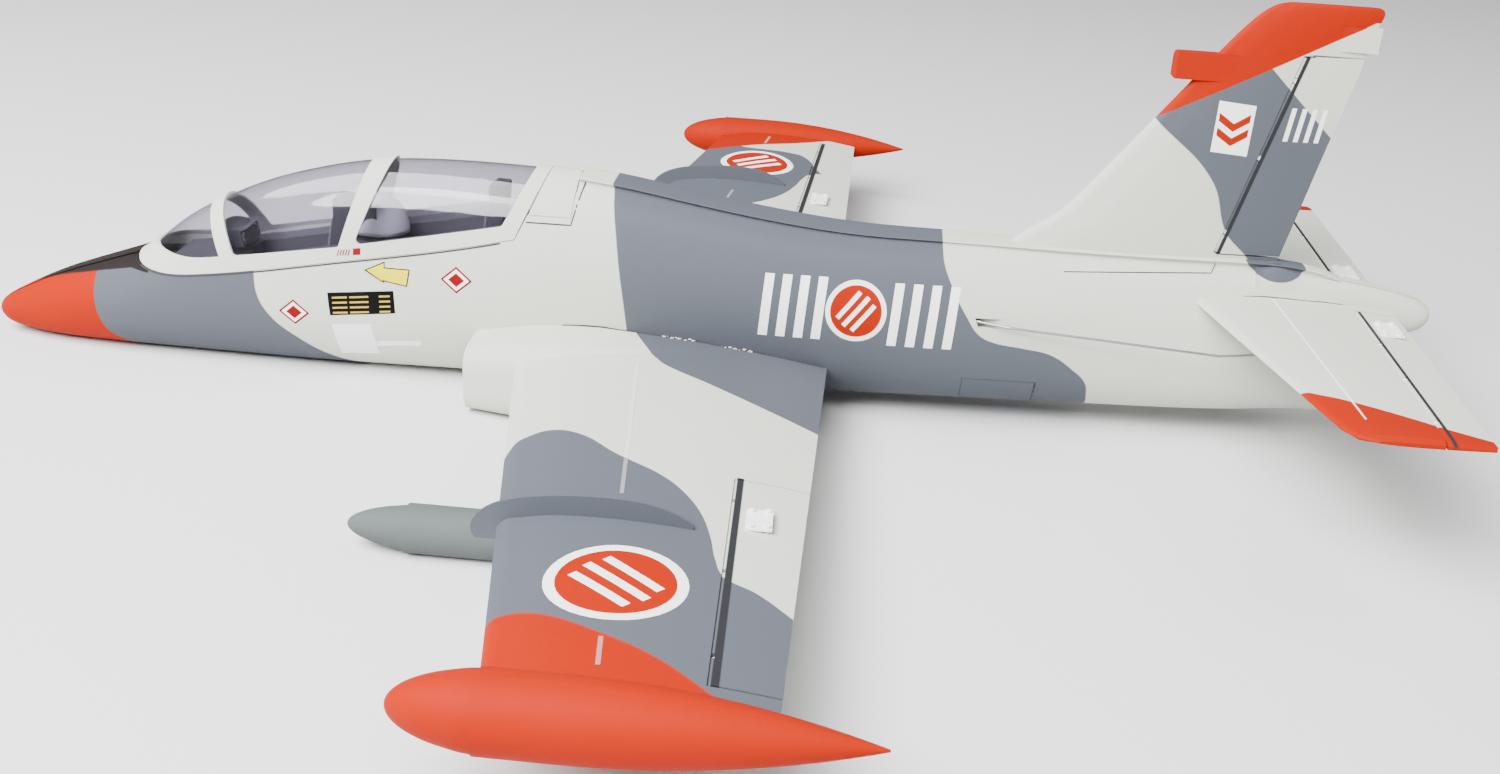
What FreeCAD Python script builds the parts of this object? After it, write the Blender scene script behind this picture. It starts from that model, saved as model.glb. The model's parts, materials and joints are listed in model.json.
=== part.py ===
import FreeCAD, Part
import math
import os
import Sketcher

# Radio-controlled foam jet trainer with ducted fan power.
# Stations: x to the left wing, y aft from the nose tip, z up from the nose tip.
# Every sub-part is then moved so that the origin lies under the middle of the aircraft.

V = FreeCAD.Vector
Rotation = FreeCAD.Rotation
doc = FreeCAD.newDocument("rc_jet_plane")

# ---------------------------------------------------------------- driving dimensions
SIZES = [
    ("length", 1055.0, "nose tip to tail cone"),
    ("keel", 19.5, "nose axis above the lowest point"),
    ("foam_wall", 7.5, "moulded foam skin of the fuselage"),
    ("frame_skin", 1.8, "canopy frame moulding"),
    ("glass_skin", 1.0, "clear canopy"),
    ("wing_root_x", 30.0, "inner end of the wing loft"),
    ("wing_tip_x", 478.0, "outer end of the wing loft"),
    ("wing_root_le", 410.2, "leading edge station at the inner end"),
    ("wing_tip_le", 499.0, "leading edge station at the outer end"),
    ("wing_te", 637.0, "straight trailing edge station"),
    ("wing_root_z", 20.1, "chord plane height at the inner end"),
    ("dihedral", 2.5, "degrees"),
    ("wing_thickness", 0.115, "thickness over chord"),
    ("edge_thickness", 1.4, "foam trailing edges"),
    ("aileron_in", 252.0, "inner end of the aileron"),
    ("aileron_out", 466.0, "outer end of the aileron"),
    ("aileron_hinge_in", 594.0, "hinge station at the inner end"),
    ("aileron_hinge_out", 604.0, "hinge station at the outer end"),
    ("tip_tank_x", 492.0, "axis of the tip tank"),
    ("tip_tank_z", 38.0, "height of the tip tank axis"),
    ("tip_tank_nose", 460.0, "front of the tip tank"),
    ("tip_tank_length", 227.0, "length of the tip tank"),
    ("tip_tank_radius", 20.0, "radius of the tip tank"),
    ("drop_tank_x", 270.0, "axis of the underwing tank"),
    ("drop_tank_z", -4.5, "height of the underwing tank axis"),
    ("drop_tank_nose", 364.0, "front of the underwing tank"),
    ("drop_tank_length", 236.0, "length of the underwing tank"),
    ("drop_tank_radius", 15.0, "radius of the underwing tank"),
    ("fence_x", 322.0, "wing fence station"),
    ("fence_thickness", 1.6, "moulded fence"),
    ("stab_z", 86.0, "tailplane height"),
    ("stab_tip_x", 231.0, "tailplane half span"),
    ("stab_hinge", 1000.0, "elevator hinge station"),
    ("elevator_in", 24.0, "inner end of the elevator"),
    ("rudder_low_y", 902.0, "rudder hinge, lower end"),
    ("rudder_low_z", 115.0, "rudder hinge, lower end"),
    ("rudder_high_y", 938.0, "rudder hinge, upper end"),
    ("rudder_high_z", 257.0, "rudder hinge, upper end"),
    ("hinge_gap", 1.2, "gap round a control surface nose"),
    ("nose_share", 0.88, "radius of a thick surface's nose over its half depth"),
    ("rod_radius", 1.0, "steel hinge rod"),
    ("rod_clearance", 0.06, "running clearance on the hinge rod"),
    ("bracket_width", 3.0, "hinge bracket"),
    ("bracket_radius", 2.4, "eye of the hinge bracket"),
    ("fan_front", 716.0, "front of the fan housing"),
    ("fan_length", 52.0, "length of the fan housing"),
    ("fan_radius", 33.5, "outside of the fan housing"),
    ("fan_wall", 1.6, "fan housing wall"),
    ("fan_axis_z", 34.0, "fan axis height"),
    ("fan_tip_gap", 0.6, "rotor blade tip clearance"),
    ("fan_hub_radius", 15.0, "fan hub"),
    ("motor_radius", 12.0, "fan motor"),
    ("shaft_radius", 2.0, "motor shaft"),
    ("duct_wall", 1.0, "exhaust duct wall"),
    ("nozzle_radius", 22.0, "inside of the exhaust nozzle"),
    ("nozzle_station", 990.0, "exhaust nozzle"),
    ("servo_long", 23.0, "servo case"),
    ("servo_wide", 11.6, "servo case"),
    ("servo_tall", 22.0, "servo case with its head"),
    ("arm_radius", 13.0, "servo arm and control horn lever"),
    ("wire_radius", 0.9, "pushrod wire"),
    ("lever_pin", 0.8, "pin through a lever"),
    ("link_gap", 0.35, "play at the opened pushrod pivot"),
    ("battery_long", 138.0, "battery pack"),
    ("battery_wide", 43.0, "battery pack"),
    ("battery_tall", 30.0, "battery pack"),
    ("battery_front", 172.0, "front of the battery pack"),
    ("tray_top", -4.0, "top of the equipment tray"),
]
sheet = doc.addObject("Spreadsheet::Sheet", "size")
for row, (alias, value, note) in enumerate(SIZES, start=1):
    sheet.set("A%d" % row, note)
    sheet.set("B%d" % row, str(value))
    sheet.setAlias("B%d" % row, alias)
doc.recompute()
v = {alias: float(sheet.get(alias)) for alias, value, note in SIZES}

nodes = []


# ---------------------------------------------------------------- helpers
def bind(obj, **expressions):
    """Bind properties to sheet expressions; a double underscore in a name stands for a dot."""
    for name, text in expressions.items():
        obj.setExpression(name.replace("__", "."), str(text))
    return obj


def keep(obj, label):
    """Name a finished sub-part and move it from nose stations to the aircraft's frame."""
    obj.Label = label
    bind(obj, Placement__Base__y="-size.length / 2", Placement__Base__z="size.keel")
    nodes.append(obj)
    return obj


def shape_feature(name, shape):
    obj = doc.addObject("Part::Feature", name)
    obj.Shape = shape
    return obj


def solid_feature(label, shape):
    solids = shape.Solids
    single = solids[0] if len(solids) == 1 else Part.makeCompound(solids)
    return keep(shape_feature(label, single), label)


def box(name, corner, dims):
    """A box from sheet expressions for its low corner and its three lengths."""
    obj = doc.addObject("Part::Box", name)
    bind(obj, Length=dims[0], Width=dims[1], Height=dims[2])
    bind(obj, Placement__Base__x=corner[0], Placement__Base__y=corner[1], Placement__Base__z=corner[2])
    return obj


def cylinder(name, radius, height, base, direction=V(0, 0, 1)):
    obj = doc.addObject("Part::Cylinder", name)
    obj.Placement = FreeCAD.Placement(V(0, 0, 0), Rotation(V(0, 0, 1), direction))
    bind(obj, Radius=radius, Height=height)
    bind(obj, Placement__Base__x=base[0], Placement__Base__y=base[1], Placement__Base__z=base[2])
    return obj


def cut(name, base, tool):
    obj = doc.addObject("Part::Cut", name)
    obj.Base = base
    obj.Tool = tool
    return obj


def fuse(name, shapes):
    obj = doc.addObject("Part::MultiFuse", name)
    obj.Shapes = shapes
    return obj


def mirror(source, label):
    """The right-hand copy of a left-hand sub-part."""
    obj = doc.addObject("Part::Mirroring", label)
    obj.Source = source
    obj.Normal = V(1, 0, 0)
    obj.Label = label
    nodes.append(obj)
    return obj


def plane_of(body, role):
    return [item for item in body.Origin.OriginFeatures if item.Role == role][0]


def line_sketch(body, name, role, points, offset=0.0):
    """A closed polygon on an origin plane, each corner bound to expressions for its two distances."""
    sketch = body.newObject("Sketcher::SketchObject", name)
    sketch.AttachmentSupport = (plane_of(body, role), [""])
    sketch.MapMode = "FlatFace"
    sketch.AttachmentOffset = FreeCAD.Placement(V(0, 0, offset), Rotation())
    values = [(sheet_value(horizontal), sheet_value(vertical)) for horizontal, vertical in points]
    start = [V(x, y, 0) for x, y in values]
    count = len(points)
    for i in range(count):
        sketch.addGeometry(Part.LineSegment(start[i], start[(i + 1) % count]), False)
    for i in range(count):
        sketch.addConstraint(Sketcher.Constraint("Coincident", i, 2, (i + 1) % count, 1))
    for i, (horizontal, vertical) in enumerate(points):
        for kind, text, value in (("DistanceX", horizontal, values[i][0]),
                                  ("DistanceY", vertical, values[i][1])):
            number = sketch.addConstraint(Sketcher.Constraint(kind, -1, 1, i, 1, value))
            if isinstance(text, str):
                sketch.setExpression("Constraints[%d]" % number, text)
    return sketch


def sheet_value(text):
    """The number that a sheet cell or a plain number stands for."""
    if not isinstance(text, str):
        return float(text)
    probe = doc.getObject("probe") or doc.addObject("Part::Plane", "probe")
    probe.setExpression("Placement.Base.x", text)
    probe.recompute()
    return probe.Placement.Base.x


def pad(body, sketch, length, reversed_side=False, midplane=False):
    obj = body.newObject("PartDesign::Pad", sketch.Name + "_pad")
    obj.Profile = sketch
    if midplane:
        obj.SideType = "Symmetric"
    obj.Reversed = reversed_side
    bind(obj, Length=length)
    return obj


def eased(stations, values):
    """A smooth curve through station values that never overshoots them."""
    slopes = [(values[i + 1] - values[i]) / (stations[i + 1] - stations[i]) for i in range(len(values) - 1)]
    inner = [0.0 if a * b <= 0 else 2 * a * b / (a + b) for a, b in zip(slopes, slopes[1:])]
    ends = [slopes[0]] + inner + [slopes[-1]]

    def value(y):
        y = min(max(y, stations[0]), stations[-1])
        i = 0
        while i < len(stations) - 2 and y > stations[i + 1]:
            i += 1
        span = stations[i + 1] - stations[i]
        t = (y - stations[i]) / span
        return ((2 * t**3 - 3 * t**2 + 1) * values[i] + (t**3 - 2 * t**2 + t) * span * ends[i]
                + (3 * t**2 - 2 * t**3) * values[i + 1] + (t**3 - t**2) * span * ends[i + 1])
    return value


# ---------------------------------------------------------------- fuselage surface
top_line = eased([21, 44, 67, 89, 109, 118, 155, 188, 219, 250, 280, 310, 343, 382, 421, 452, 479, 518, 551,
                  577, 644, 711, 770, 830, 900, 945, 966, 1011, 1045, 1055],
                 [16.5, 28, 37.5, 45.5, 52, 55.5, 84, 103, 117, 127.3, 134.8, 140, 142, 142.8, 141.3, 139.8,
                  136.5, 130.5, 125, 121.5, 114, 113.5, 113, 112.5, 113, 113, 108, 101.5, 93.5, 88])
bottom_line = eased([21, 38, 59, 94, 143, 186, 249, 330, 450, 637, 710, 765, 826, 878, 930, 990],
                    [-15.5, -17.3, -18.3, -18.8, -19.3, -19.5, -19.5, -18, -16, -10, -7.5, -6, -4, -2.5, 1, 5])
half_width = eased([21, 44, 67, 92, 118, 155, 188, 250, 343, 452, 577, 644, 711, 770, 830, 890, 940, 990],
                   [15, 22, 27, 31, 34, 37.5, 40, 43, 45.5, 47, 47.5, 47, 45, 41.5, 38, 34.5, 31, 27.5])
wide_height = eased([21, 44, 67, 92, 118, 155, 188, 250, 343, 452, 577, 711, 830, 890, 940, 990],
                    [1, 4, 9, 14, 20, 28, 33, 38, 42, 46, 50, 48, 44, 40, 36, 31.5])
crown_power = eased([21, 118, 250, 450, 700, 900, 990], [2.0, 2.0, 2.05, 2.1, 2.05, 1.7, 1.6])
shoulder = eased([0, 460, 520, 680, 780, 1100], [0, 0, 2.6, 2.6, 0, 0])
cone_bottom = eased([930, 990, 1030, 1046, 1052, 1055], [58, 62, 66, 69, 73, 77])
cone_width = eased([930, 990, 1030, 1048, 1052, 1055], [18, 15, 12.5, 10.5, 9.5, 7])

NOSE_CAP = 21.0
NOSE_TIP_Z = -2.0
NOSE_STATIONS = [0.3, 1.5, 4, 9, 21, 44, 67, 92, 118]
MAIN_STATIONS = [118, 135, 155, 188, 219, 250, 290, 343, 400, 452, 500, 550, 600, 655, 711, 770, 830, 890,
                 940, 990]
CONE_STATIONS = [930, 940, 950, 960, 970, 980, 990, 1001, 1012, 1021, 1030, 1037, 1043, 1048, 1052, 1055]
ARC_STEPS = 6


def nose_reach(y, reach, blunt, slope):
    """Distance from the nose axis: round at the tip, then running on at the slope of the line behind it."""
    t = math.sqrt(y / NOSE_CAP)
    start, end = blunt * math.sqrt(NOSE_CAP), 2 * slope * NOSE_CAP
    return (t**3 - 2 * t**2 + t) * start + (3 * t**2 - 2 * t**3) * reach + (t**3 - t**2) * end


def section(y, inset, cone=False):
    """Half of a fuselage cross-section at station y, from the keel round the side to the crown."""
    if cone:
        crown, low, wide = top_line(y), cone_bottom(y), cone_width(y)
        middle, power, bulge = (crown + low) / 2, 2.2, 0.0
    else:
        crown, low, wide, middle = top_line(y), bottom_line(y), half_width(y), wide_height(y)
        power, bulge = crown_power(y), shoulder(y)
        if y < NOSE_CAP:
            crown = NOSE_TIP_Z + nose_reach(y, crown - NOSE_TIP_Z, 3.7, 0.5)
            low = NOSE_TIP_Z - nose_reach(y, NOSE_TIP_Z - low, 4.0, 0.106)
            wide = nose_reach(y, wide, 4.0, 0.304)
            middle = NOSE_TIP_Z + (middle - NOSE_TIP_Z) * y / NOSE_CAP
    crown, low, wide = crown - inset, low + inset, wide - inset
    points = []
    for i in range(2 * ARC_STEPS + 1):
        angle = math.pi / 2 * (i / ARC_STEPS - 1)
        reach, rise = math.cos(angle), math.sin(angle)
        n = 2.3 if rise < 0 else power
        height = (middle - low) if rise < 0 else (crown - middle)
        extra = bulge * math.exp(-((angle - 0.95) / 0.3) ** 2)
        across = (wide + extra) * abs(reach) ** (2 / n)
        up = (height + extra * 0.5) * math.copysign(abs(rise) ** (2 / n), rise) + middle
        points.append(V(across, y, up))
    points[0].x = 0
    points[-1].x = 0
    points[-1].z = crown
    side = Part.BSplineCurve()
    side.interpolate(Points=points, Parameters=[float(i) for i in range(len(points))],
                     InitialTangent=V(wide * 0.35, 0, 0), FinalTangent=V(-wide * 0.35, 0, 0))
    return Part.Wire([side.toShape(), Part.makeLine(points[-1], points[0])])


def half_hull(inset, front=0.3, back=1055.0, with_cone=True):
    """The left half of the fuselage volume, moved in from the skin by the inset."""
    pieces = []
    nose = [y for y in NOSE_STATIONS if y >= front]
    if len(nose) > 1:
        pieces.append(Part.makeLoft([section(y, inset) for y in nose], True, False))
    main = [y for y in MAIN_STATIONS if y <= back]
    if main[-1] < min(back, 990):
        main.append(min(back, 990))
    pieces.append(Part.makeLoft([section(y, inset) for y in main], True, False))
    if with_cone:
        pieces.append(Part.makeLoft([section(y, inset, True) for y in CONE_STATIONS], True, False))
    hull = pieces[0]
    for piece in pieces[1:]:
        hull = hull.fuse(piece)
    return hull.removeSplitter()


def whole(half):
    return half.fuse(half.mirror(V(0, 0, 0), V(1, 0, 0))).removeSplitter()


def side_prism(points, reach=80.0, curve_count=0, both=True, fillet=0.0):
    """A prism across the fuselage from an outline in the side view; its first stretch may be a curve."""
    corners = [V(0, y, z) for y, z in points]
    edges = []
    if curve_count:
        spline = Part.BSplineCurve()
        spline.interpolate(corners[:curve_count])
        edges.append(spline.toShape())
    first = max(curve_count - 1, 0)
    for a, b in zip(corners[first:], corners[first + 1:] + corners[:1]):
        edges.append(Part.makeLine(a, b))
    face = Part.Face(Part.Wire(edges))
    start = -reach if both else 0.0
    face.translate(V(start, 0, 0))
    prism = face.extrude(V(reach - start, 0, 0))
    if fillet:
        low = [e for e in prism.Edges if abs(e.Vertexes[0].X - e.Vertexes[-1].X) > reach / 2
               and e.Vertexes[0].Z < 110]
        prism = prism.makeFillet(fillet, low)
    return prism


half_skin = half_hull(0.0)
full_skin = whole(half_skin)

# ---------------------------------------------------------------- canopy hatch outline
SILL = [(117, 58), (124, 52.5), (135, 49.8), (150, 48.8), (176, 51.5), (219, 59), (279, 71), (342, 83),
        (411, 98)]
HATCH_OUTLINE = SILL + [(419, 115), (450, 115), (458, 200), (117, 200)]
FRAME_OUTLINE = SILL + [(431.5, 145), (440, 200), (117, 200)]
BLOCK_OUTLINE = [(419.8, 115.4), (449.6, 115.4), (457.2, 200), (444, 200), (431.9, 145)]
GLASS_OUTLINE = [(124, 66), (138, 60.5), (153, 59.5), (175, 58), (200, 63), (283, 77.5), (406, 101.5),
                 (427, 145), (436, 200), (124, 200)]
WINDSCREEN = [(127, 71), (133, 67.5), (143, 65), (156, 63), (170, 62.5), (182, 64), (193, 66), (177, 103),
              (127, 103)]
FRONT_WINDOW = [(204, 68), (283, 82), (301, 141.5), (302, 150), (169, 150)]
REAR_WINDOW = [(294, 84.5), (401, 106), (420, 143), (423, 152), (321, 152), (316, 140)]

hatch_zone = side_prism(HATCH_OUTLINE, curve_count=len(SILL))

# ---------------------------------------------------------------- wing surfaces
SLOPE = math.tan(math.radians(v["dihedral"]))


def wing_plane(x):
    return v["wing_root_z"] + (x - v["wing_root_x"]) * SLOPE


def wing_le(x):
    share = (x - v["wing_root_x"]) / (v["wing_tip_x"] - v["wing_root_x"])
    return v["wing_root_le"] + share * (v["wing_tip_le"] - v["wing_root_le"])


def profile_half(share):
    """Half thickness of the aerofoil for a thickness of one, at a share of the chord."""
    return 5 * (0.2969 * math.sqrt(share) - 0.1260 * share - 0.3516 * share**2 + 0.2843 * share**3
                - 0.1015 * share**4)


def aerofoil(lead, trail, half_depth_scale, camber, edge, place):
    """A closed aerofoil wire; place turns (chordwise, across) into a point."""
    chord = trail - lead
    steps = 12
    shares = [(1 - math.cos(math.pi * i / steps)) / 2 for i in range(steps + 1)]

    def side(sign):
        return [place(lead + s * chord,
                      sign * (profile_half(s) * half_depth_scale + edge / 2 * s) + camber * 4 * s * (1 - s))
                for s in shares]
    upper = Part.BSplineCurve()
    upper.interpolate(Points=side(1), Parameters=shares)
    lower = Part.BSplineCurve()
    lower.interpolate(Points=side(-1), Parameters=shares)
    back = Part.makeLine(side(1)[-1], side(-1)[-1])
    return Part.Wire([upper.toShape(), back, lower.toShape()])


def wing_section(x):
    chord = v["wing_te"] - wing_le(x)
    return aerofoil(wing_le(x), v["wing_te"], v["wing_thickness"] * chord, 0.012 * chord, v["edge_thickness"],
                    lambda y, h: V(x, y, wing_plane(x) + h))


def wing_half_depth(x, y):
    chord = v["wing_te"] - wing_le(x)
    share = (y - wing_le(x)) / chord
    return profile_half(share) * v["wing_thickness"] * chord + v["edge_thickness"] / 2 * share


def wing_camber(x, y):
    chord = v["wing_te"] - wing_le(x)
    share = (y - wing_le(x)) / chord
    return 0.012 * chord * 4 * share * (1 - share)


wing_loft = Part.makeLoft([wing_section(v["wing_root_x"]), wing_section(v["wing_tip_x"])], True, True)


def round_box(y, low_x, high_x, low_z, high_z, power=4.0):
    """A soft-cornered rectangle across the flow at station y."""
    points = []
    count = 24
    for i in range(count):
        angle = 2 * math.pi * i / count
        c, s = math.cos(angle), math.sin(angle)
        x = (low_x + high_x) / 2 + (high_x - low_x) / 2 * math.copysign(abs(c) ** (2 / power), c)
        z = (low_z + high_z) / 2 + (high_z - low_z) / 2 * math.copysign(abs(s) ** (2 / power), s)
        points.append(V(x, y, z))
    curve = Part.BSplineCurve()
    curve.interpolate(Points=points, PeriodicFlag=True)
    return Part.Wire([curve.toShape()])


def intake_fairing():
    """The intake trunk that is moulded with the wing root."""
    return Part.makeLoft([round_box(384, 14, 86, -18.5, 29.5, 4.5), round_box(410, 12, 92, -18.8, 35, 4.5),
                          round_box(440, 10, 97, -18.5, 39, 4.5), round_box(480, 10, 97, -17.5, 40, 4.2),
                          round_box(530, 8, 93, -15.5, 36.5, 3.8), round_box(590, 6, 80, -10, 29.5, 3.4),
                          round_box(634, 4, 66, -3, 22, 3.0)], True, False)


def intake_passage():
    """The air way from the mouth, turning in to the fuselage."""
    return Part.makeLoft([round_box(380, 48.5, 81.5, -14.5, 24.5, 3.6), round_box(400, 48, 85, -14.5, 27, 3.6),
                          round_box(440, 42, 84, -12, 28, 3.4), round_box(490, 26, 66, -9, 28, 3.2),
                          round_box(535, 8, 44, -5, 28, 3.0)], True, False)


def cone_between(a, b, radius_a, radius_b):
    axis = b - a
    if abs(radius_a - radius_b) < 0.01:
        return Part.makeCylinder(radius_a, axis.Length, a, axis)
    return Part.makeCone(radius_a, radius_b, axis.Length, a, axis)


def split_surface(parent, aft_outline, a, b, radius_a, radius_b):
    """Part a control surface from its parent round a hinge line from a to b.

    aft_outline(margin) gives the prism behind the hinge line, grown by the margin at both ends.
    """
    gap = v["hinge_gap"]
    axis = (b - a).normalize()
    nose = cone_between(a, b, radius_a, radius_b)
    cove = cone_between(a - axis * gap, b + axis * gap, radius_a + gap, radius_b + gap)
    surface = parent.common(aft_outline(0.0).fuse(nose))
    rest = parent.cut(aft_outline(gap).fuse(cove))
    return surface, rest


def bracket_at(point, axis, aft, depth):
    """A hinge bracket: an eye on the hinge line and a tongue that runs forward into the fixed surface."""
    half = v["bracket_width"] / 2
    radius = v["bracket_radius"]
    eye = Part.makeCylinder(radius, 2 * half, point - axis * half, axis)
    up = axis.cross(aft)
    corner = point - axis * half - aft * depth - up * (radius * 0.6)
    tongue = Part.Face(Part.makePolygon([corner, corner + up * (radius * 1.2),
                                         corner + up * (radius * 1.2) + aft * depth, corner + aft * depth, corner]))
    tongue = tongue.extrude(axis * (2 * half))
    bore = Part.makeCylinder(v["rod_radius"], 4 * half, point - axis * 2 * half, axis)
    return eye.fuse(tongue).removeSplitter().cut(bore)


def bracket_slot(point, axis, aft, front, back):
    """The slot that a control surface needs round a bracket over its whole swing."""
    half = v["bracket_width"] / 2 + 0.6
    radius = v["bracket_radius"] + 0.5
    round_part = Part.makeCylinder(radius, 2 * half, point - axis * half, axis)
    up = axis.cross(aft)
    corner = point - axis * half - aft * front - up * front
    mouth = Part.Face(Part.makePolygon([corner, corner + up * 2 * front, corner + up * 2 * front + aft * front,
                                        corner + aft * front, corner])).extrude(axis * (2 * half))
    return round_part.fuse(mouth)


# ---------------------------------------------------------------- levers and pushrods
def link_plate(a, b, radius_a, radius_b, axis, thickness):
    """A flat lever from a to b with round ends, its faces square to the axis, starting at a."""
    along = (b - a).normalize()
    up = axis.cross(along)
    spread = math.asin((radius_a - radius_b) / (b - a).Length)

    def rim(centre, radius, angle):
        return centre + (along * math.sin(angle) + up * math.cos(angle)) * radius
    edges = [Part.makeLine(rim(a, radius_a, spread), rim(b, radius_b, spread)),
             Part.Arc(rim(b, radius_b, spread), b + along * radius_b,
                      rim(b, radius_b, math.pi - spread)).toShape(),
             Part.makeLine(b + along * radius_b * math.sin(spread) - up * radius_b * math.cos(spread),
                           a + along * radius_a * math.sin(spread) - up * radius_a * math.cos(spread)),
             Part.Arc(a + along * radius_a * math.sin(spread) - up * radius_a * math.cos(spread),
                      a - along * radius_a, rim(a, radius_a, spread)).toShape()]
    return Part.Face(Part.Wire(edges)).extrude(axis * thickness)


class Linkage:
    """Servo, arm, pushrod and horn of one control surface.

    hinge is a point on the hinge line, axis runs along it, lever points from the hinge line to the
    pushrod, servo is where the servo shaft leaves the servo's case, and aft points from servo to surface.
    """

    def __init__(self, hinge, axis, lever, aft, servo):
        self.hinge, self.axis, self.lever, self.aft, self.servo = hinge, axis, lever, aft, servo
        self.arm_base = servo + axis * 1.8
        self.arm_end = self.arm_base + lever * v["arm_radius"]
        self.turn = Rotation(aft * -1, axis.cross(aft * -1), axis, "ZXY")

    def servo_pocket(self):
        """Room for the servo's case."""
        case = Part.makeBox(v["servo_long"], v["servo_wide"], v["servo_tall"],
                            V(-6, -v["servo_wide"] / 2, -v["servo_tall"]))
        case.Placement = FreeCAD.Placement(self.servo, self.turn)
        return case

    def arm_pocket(self, reach, side=9.5, back=5.5, width=7.0):
        """Room beside the servo for the swing of its arm."""
        away = self.lever
        corner = self.servo - self.aft * side - away * back
        return Part.Face(Part.makePolygon([corner, corner + self.aft * 2 * side,
                                           corner + self.aft * 2 * side + away * (reach + back),
                                           corner + away * (reach + back), corner])).extrude(self.axis * width)

    def arm(self):
        plate = link_plate(self.arm_base, self.arm_end, 3.4, 2.2, self.axis, 1.6)
        hub = Part.makeCylinder(3.4, 2.6, self.arm_base, self.axis)
        bore = Part.makeCylinder(v["lever_pin"] + 0.05, 6, self.arm_end - self.axis * 2, self.axis)
        return plate.fuse(hub).removeSplitter().cut(bore)

    def pushrod(self, station, waypoints=()):
        """Wire with a pin through each lever; station is how far along the axis the horn's plate starts."""
        start = self.arm_end + self.axis * 3.4
        end = self.hinge + self.lever * v["arm_radius"] + self.axis * (station + 3.4)
        points = [start] + list(waypoints) + [end]
        radius = v["wire_radius"]
        shape = Part.makeSphere(radius, points[0])
        for a, b in zip(points, points[1:]):
            shape = shape.fuse(Part.makeCylinder(radius, (b - a).Length, a, b - a))
            shape = shape.fuse(Part.makeSphere(radius, b))
        for centre in (start, end):
            pin = Part.makeCylinder(v["lever_pin"], 4.6, centre - self.axis * 4.6, self.axis)
            sleeve = Part.makeCylinder(2.1, 2.6, centre - self.axis * 1.3, self.axis)
            run = (points[1] - points[0]) if centre == start else (points[-2] - points[-1])
            barrel = Part.makeCylinder(1.7, 15, centre, run)
            shape = shape.fuse([pin, sleeve, barrel])
        return shape.removeSplitter()

    def horn(self, station, depth, surface_aft, rise, plate=True):
        """Horn with a base on the surface, its screws and, where asked for, the plate on the far side.

        depth is the surface's half thickness at the base, surface_aft how far behind the hinge it sits.
        """
        base_centre = self.hinge + self.aft * surface_aft + self.lever * depth + self.axis * station
        tip = self.hinge + self.lever * v["arm_radius"] + self.axis * station
        foot_a = base_centre - self.aft * 6 - self.lever * 0.6
        foot_b = base_centre + self.aft * 7 - self.lever * 0.6
        outline = Part.makePolygon([foot_a, foot_b, tip + self.aft * 2.4 + self.lever * 1.2,
                                    tip - self.aft * 2.2 + self.lever * 1.4, tip - self.aft * 2.2 - self.lever * 2,
                                    foot_a])
        blade = Part.Face(outline).extrude(self.axis * 1.6)
        bore = Part.makeCylinder(v["lever_pin"] + v["link_gap"], 8, tip - self.axis * 3, self.axis)
        pieces = []
        levels = [(0.0, 1.4), (-2 * depth - rise, -1.4)] if plate else [(0.0, 1.4)]
        for level, rise_to in levels:
            corner = base_centre - self.aft * 7.5 - self.axis * 11 + self.lever * level
            plate_face = Part.Face(Part.makePolygon([corner, corner + self.aft * 15,
                                                     corner + self.aft * 15 + self.axis * 23.6,
                                                     corner + self.axis * 23.6, corner]))
            pieces.append(plate_face.extrude(self.lever * rise_to))
        through = 2 * depth + rise + 2.6 if plate else depth
        for along in (-8.6, 10.2):
            for back in (-4.6, 4.6):
                foot = base_centre + self.axis * along + self.aft * back - self.lever * through
                pieces.append(Part.makeCylinder(0.9, through + 2.0, foot, self.lever))
                if plate:
                    pieces.append(Part.makeCylinder(1.9, 1.6, foot - self.lever * 0.2, self.lever))
        return blade.fuse(pieces).removeSplitter().cut(bore)


def servo(label, linkage):
    """A micro servo: case, ears and boss, its shaft along the local Z axis."""
    case = box(label + "_case", ("-6", "-size.servo_wide / 2", "-size.servo_tall"),
               ("size.servo_long", "size.servo_wide", "size.servo_tall - 4"))
    head = box(label + "_head", ("-6", "-size.servo_wide / 2 + 0.01", "-4.5"),
               ("size.servo_wide + 3", "size.servo_wide - 0.02", "4.5"))
    boss = cylinder(label + "_boss", "2.9", "5.6", ("0", "0", "-4"))
    whole_servo = fuse(label, [case, head, boss])
    whole_servo.Placement = FreeCAD.Placement(linkage.servo, linkage.turn)
    whole_servo.Label = label
    place = linkage.servo
    bind(whole_servo, Placement__Base__x="%.4f" % place.x,
         Placement__Base__y="%.4f - size.length / 2" % place.y, Placement__Base__z="%.4f + size.keel" % place.z)
    nodes.append(whole_servo)
    return whole_servo


# ---------------------------------------------------------------- wings and ailerons
def hinge_point(x):
    share = (x - v["aileron_in"]) / (v["aileron_out"] - v["aileron_in"])
    y = v["aileron_hinge_in"] + share * (v["aileron_hinge_out"] - v["aileron_hinge_in"])
    return V(x, y, wing_plane(x) + wing_camber(x, y))


def straight_point(a, b, share):
    return a + (b - a) * share


aileron_a = hinge_point(v["aileron_in"])
aileron_b = hinge_point(v["aileron_out"])
aileron_axis = (aileron_b - aileron_a).normalize()
aileron_aft = V(0, 1, 0) - aileron_axis * aileron_axis.y
aileron_aft.normalize()
aileron_down = aileron_axis.cross(aileron_aft) * -1


def aileron_outline(margin):
    """The prism behind the aileron hinge line."""
    start = aileron_a - aileron_axis * margin
    end = aileron_b + aileron_axis * margin
    down = aileron_down * 30
    points = [start + down, end + down, end + down + aileron_aft * 60, start + down + aileron_aft * 60]
    return Part.Face(Part.makePolygon(points + points[:1])).extrude(aileron_down * -60)


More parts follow.
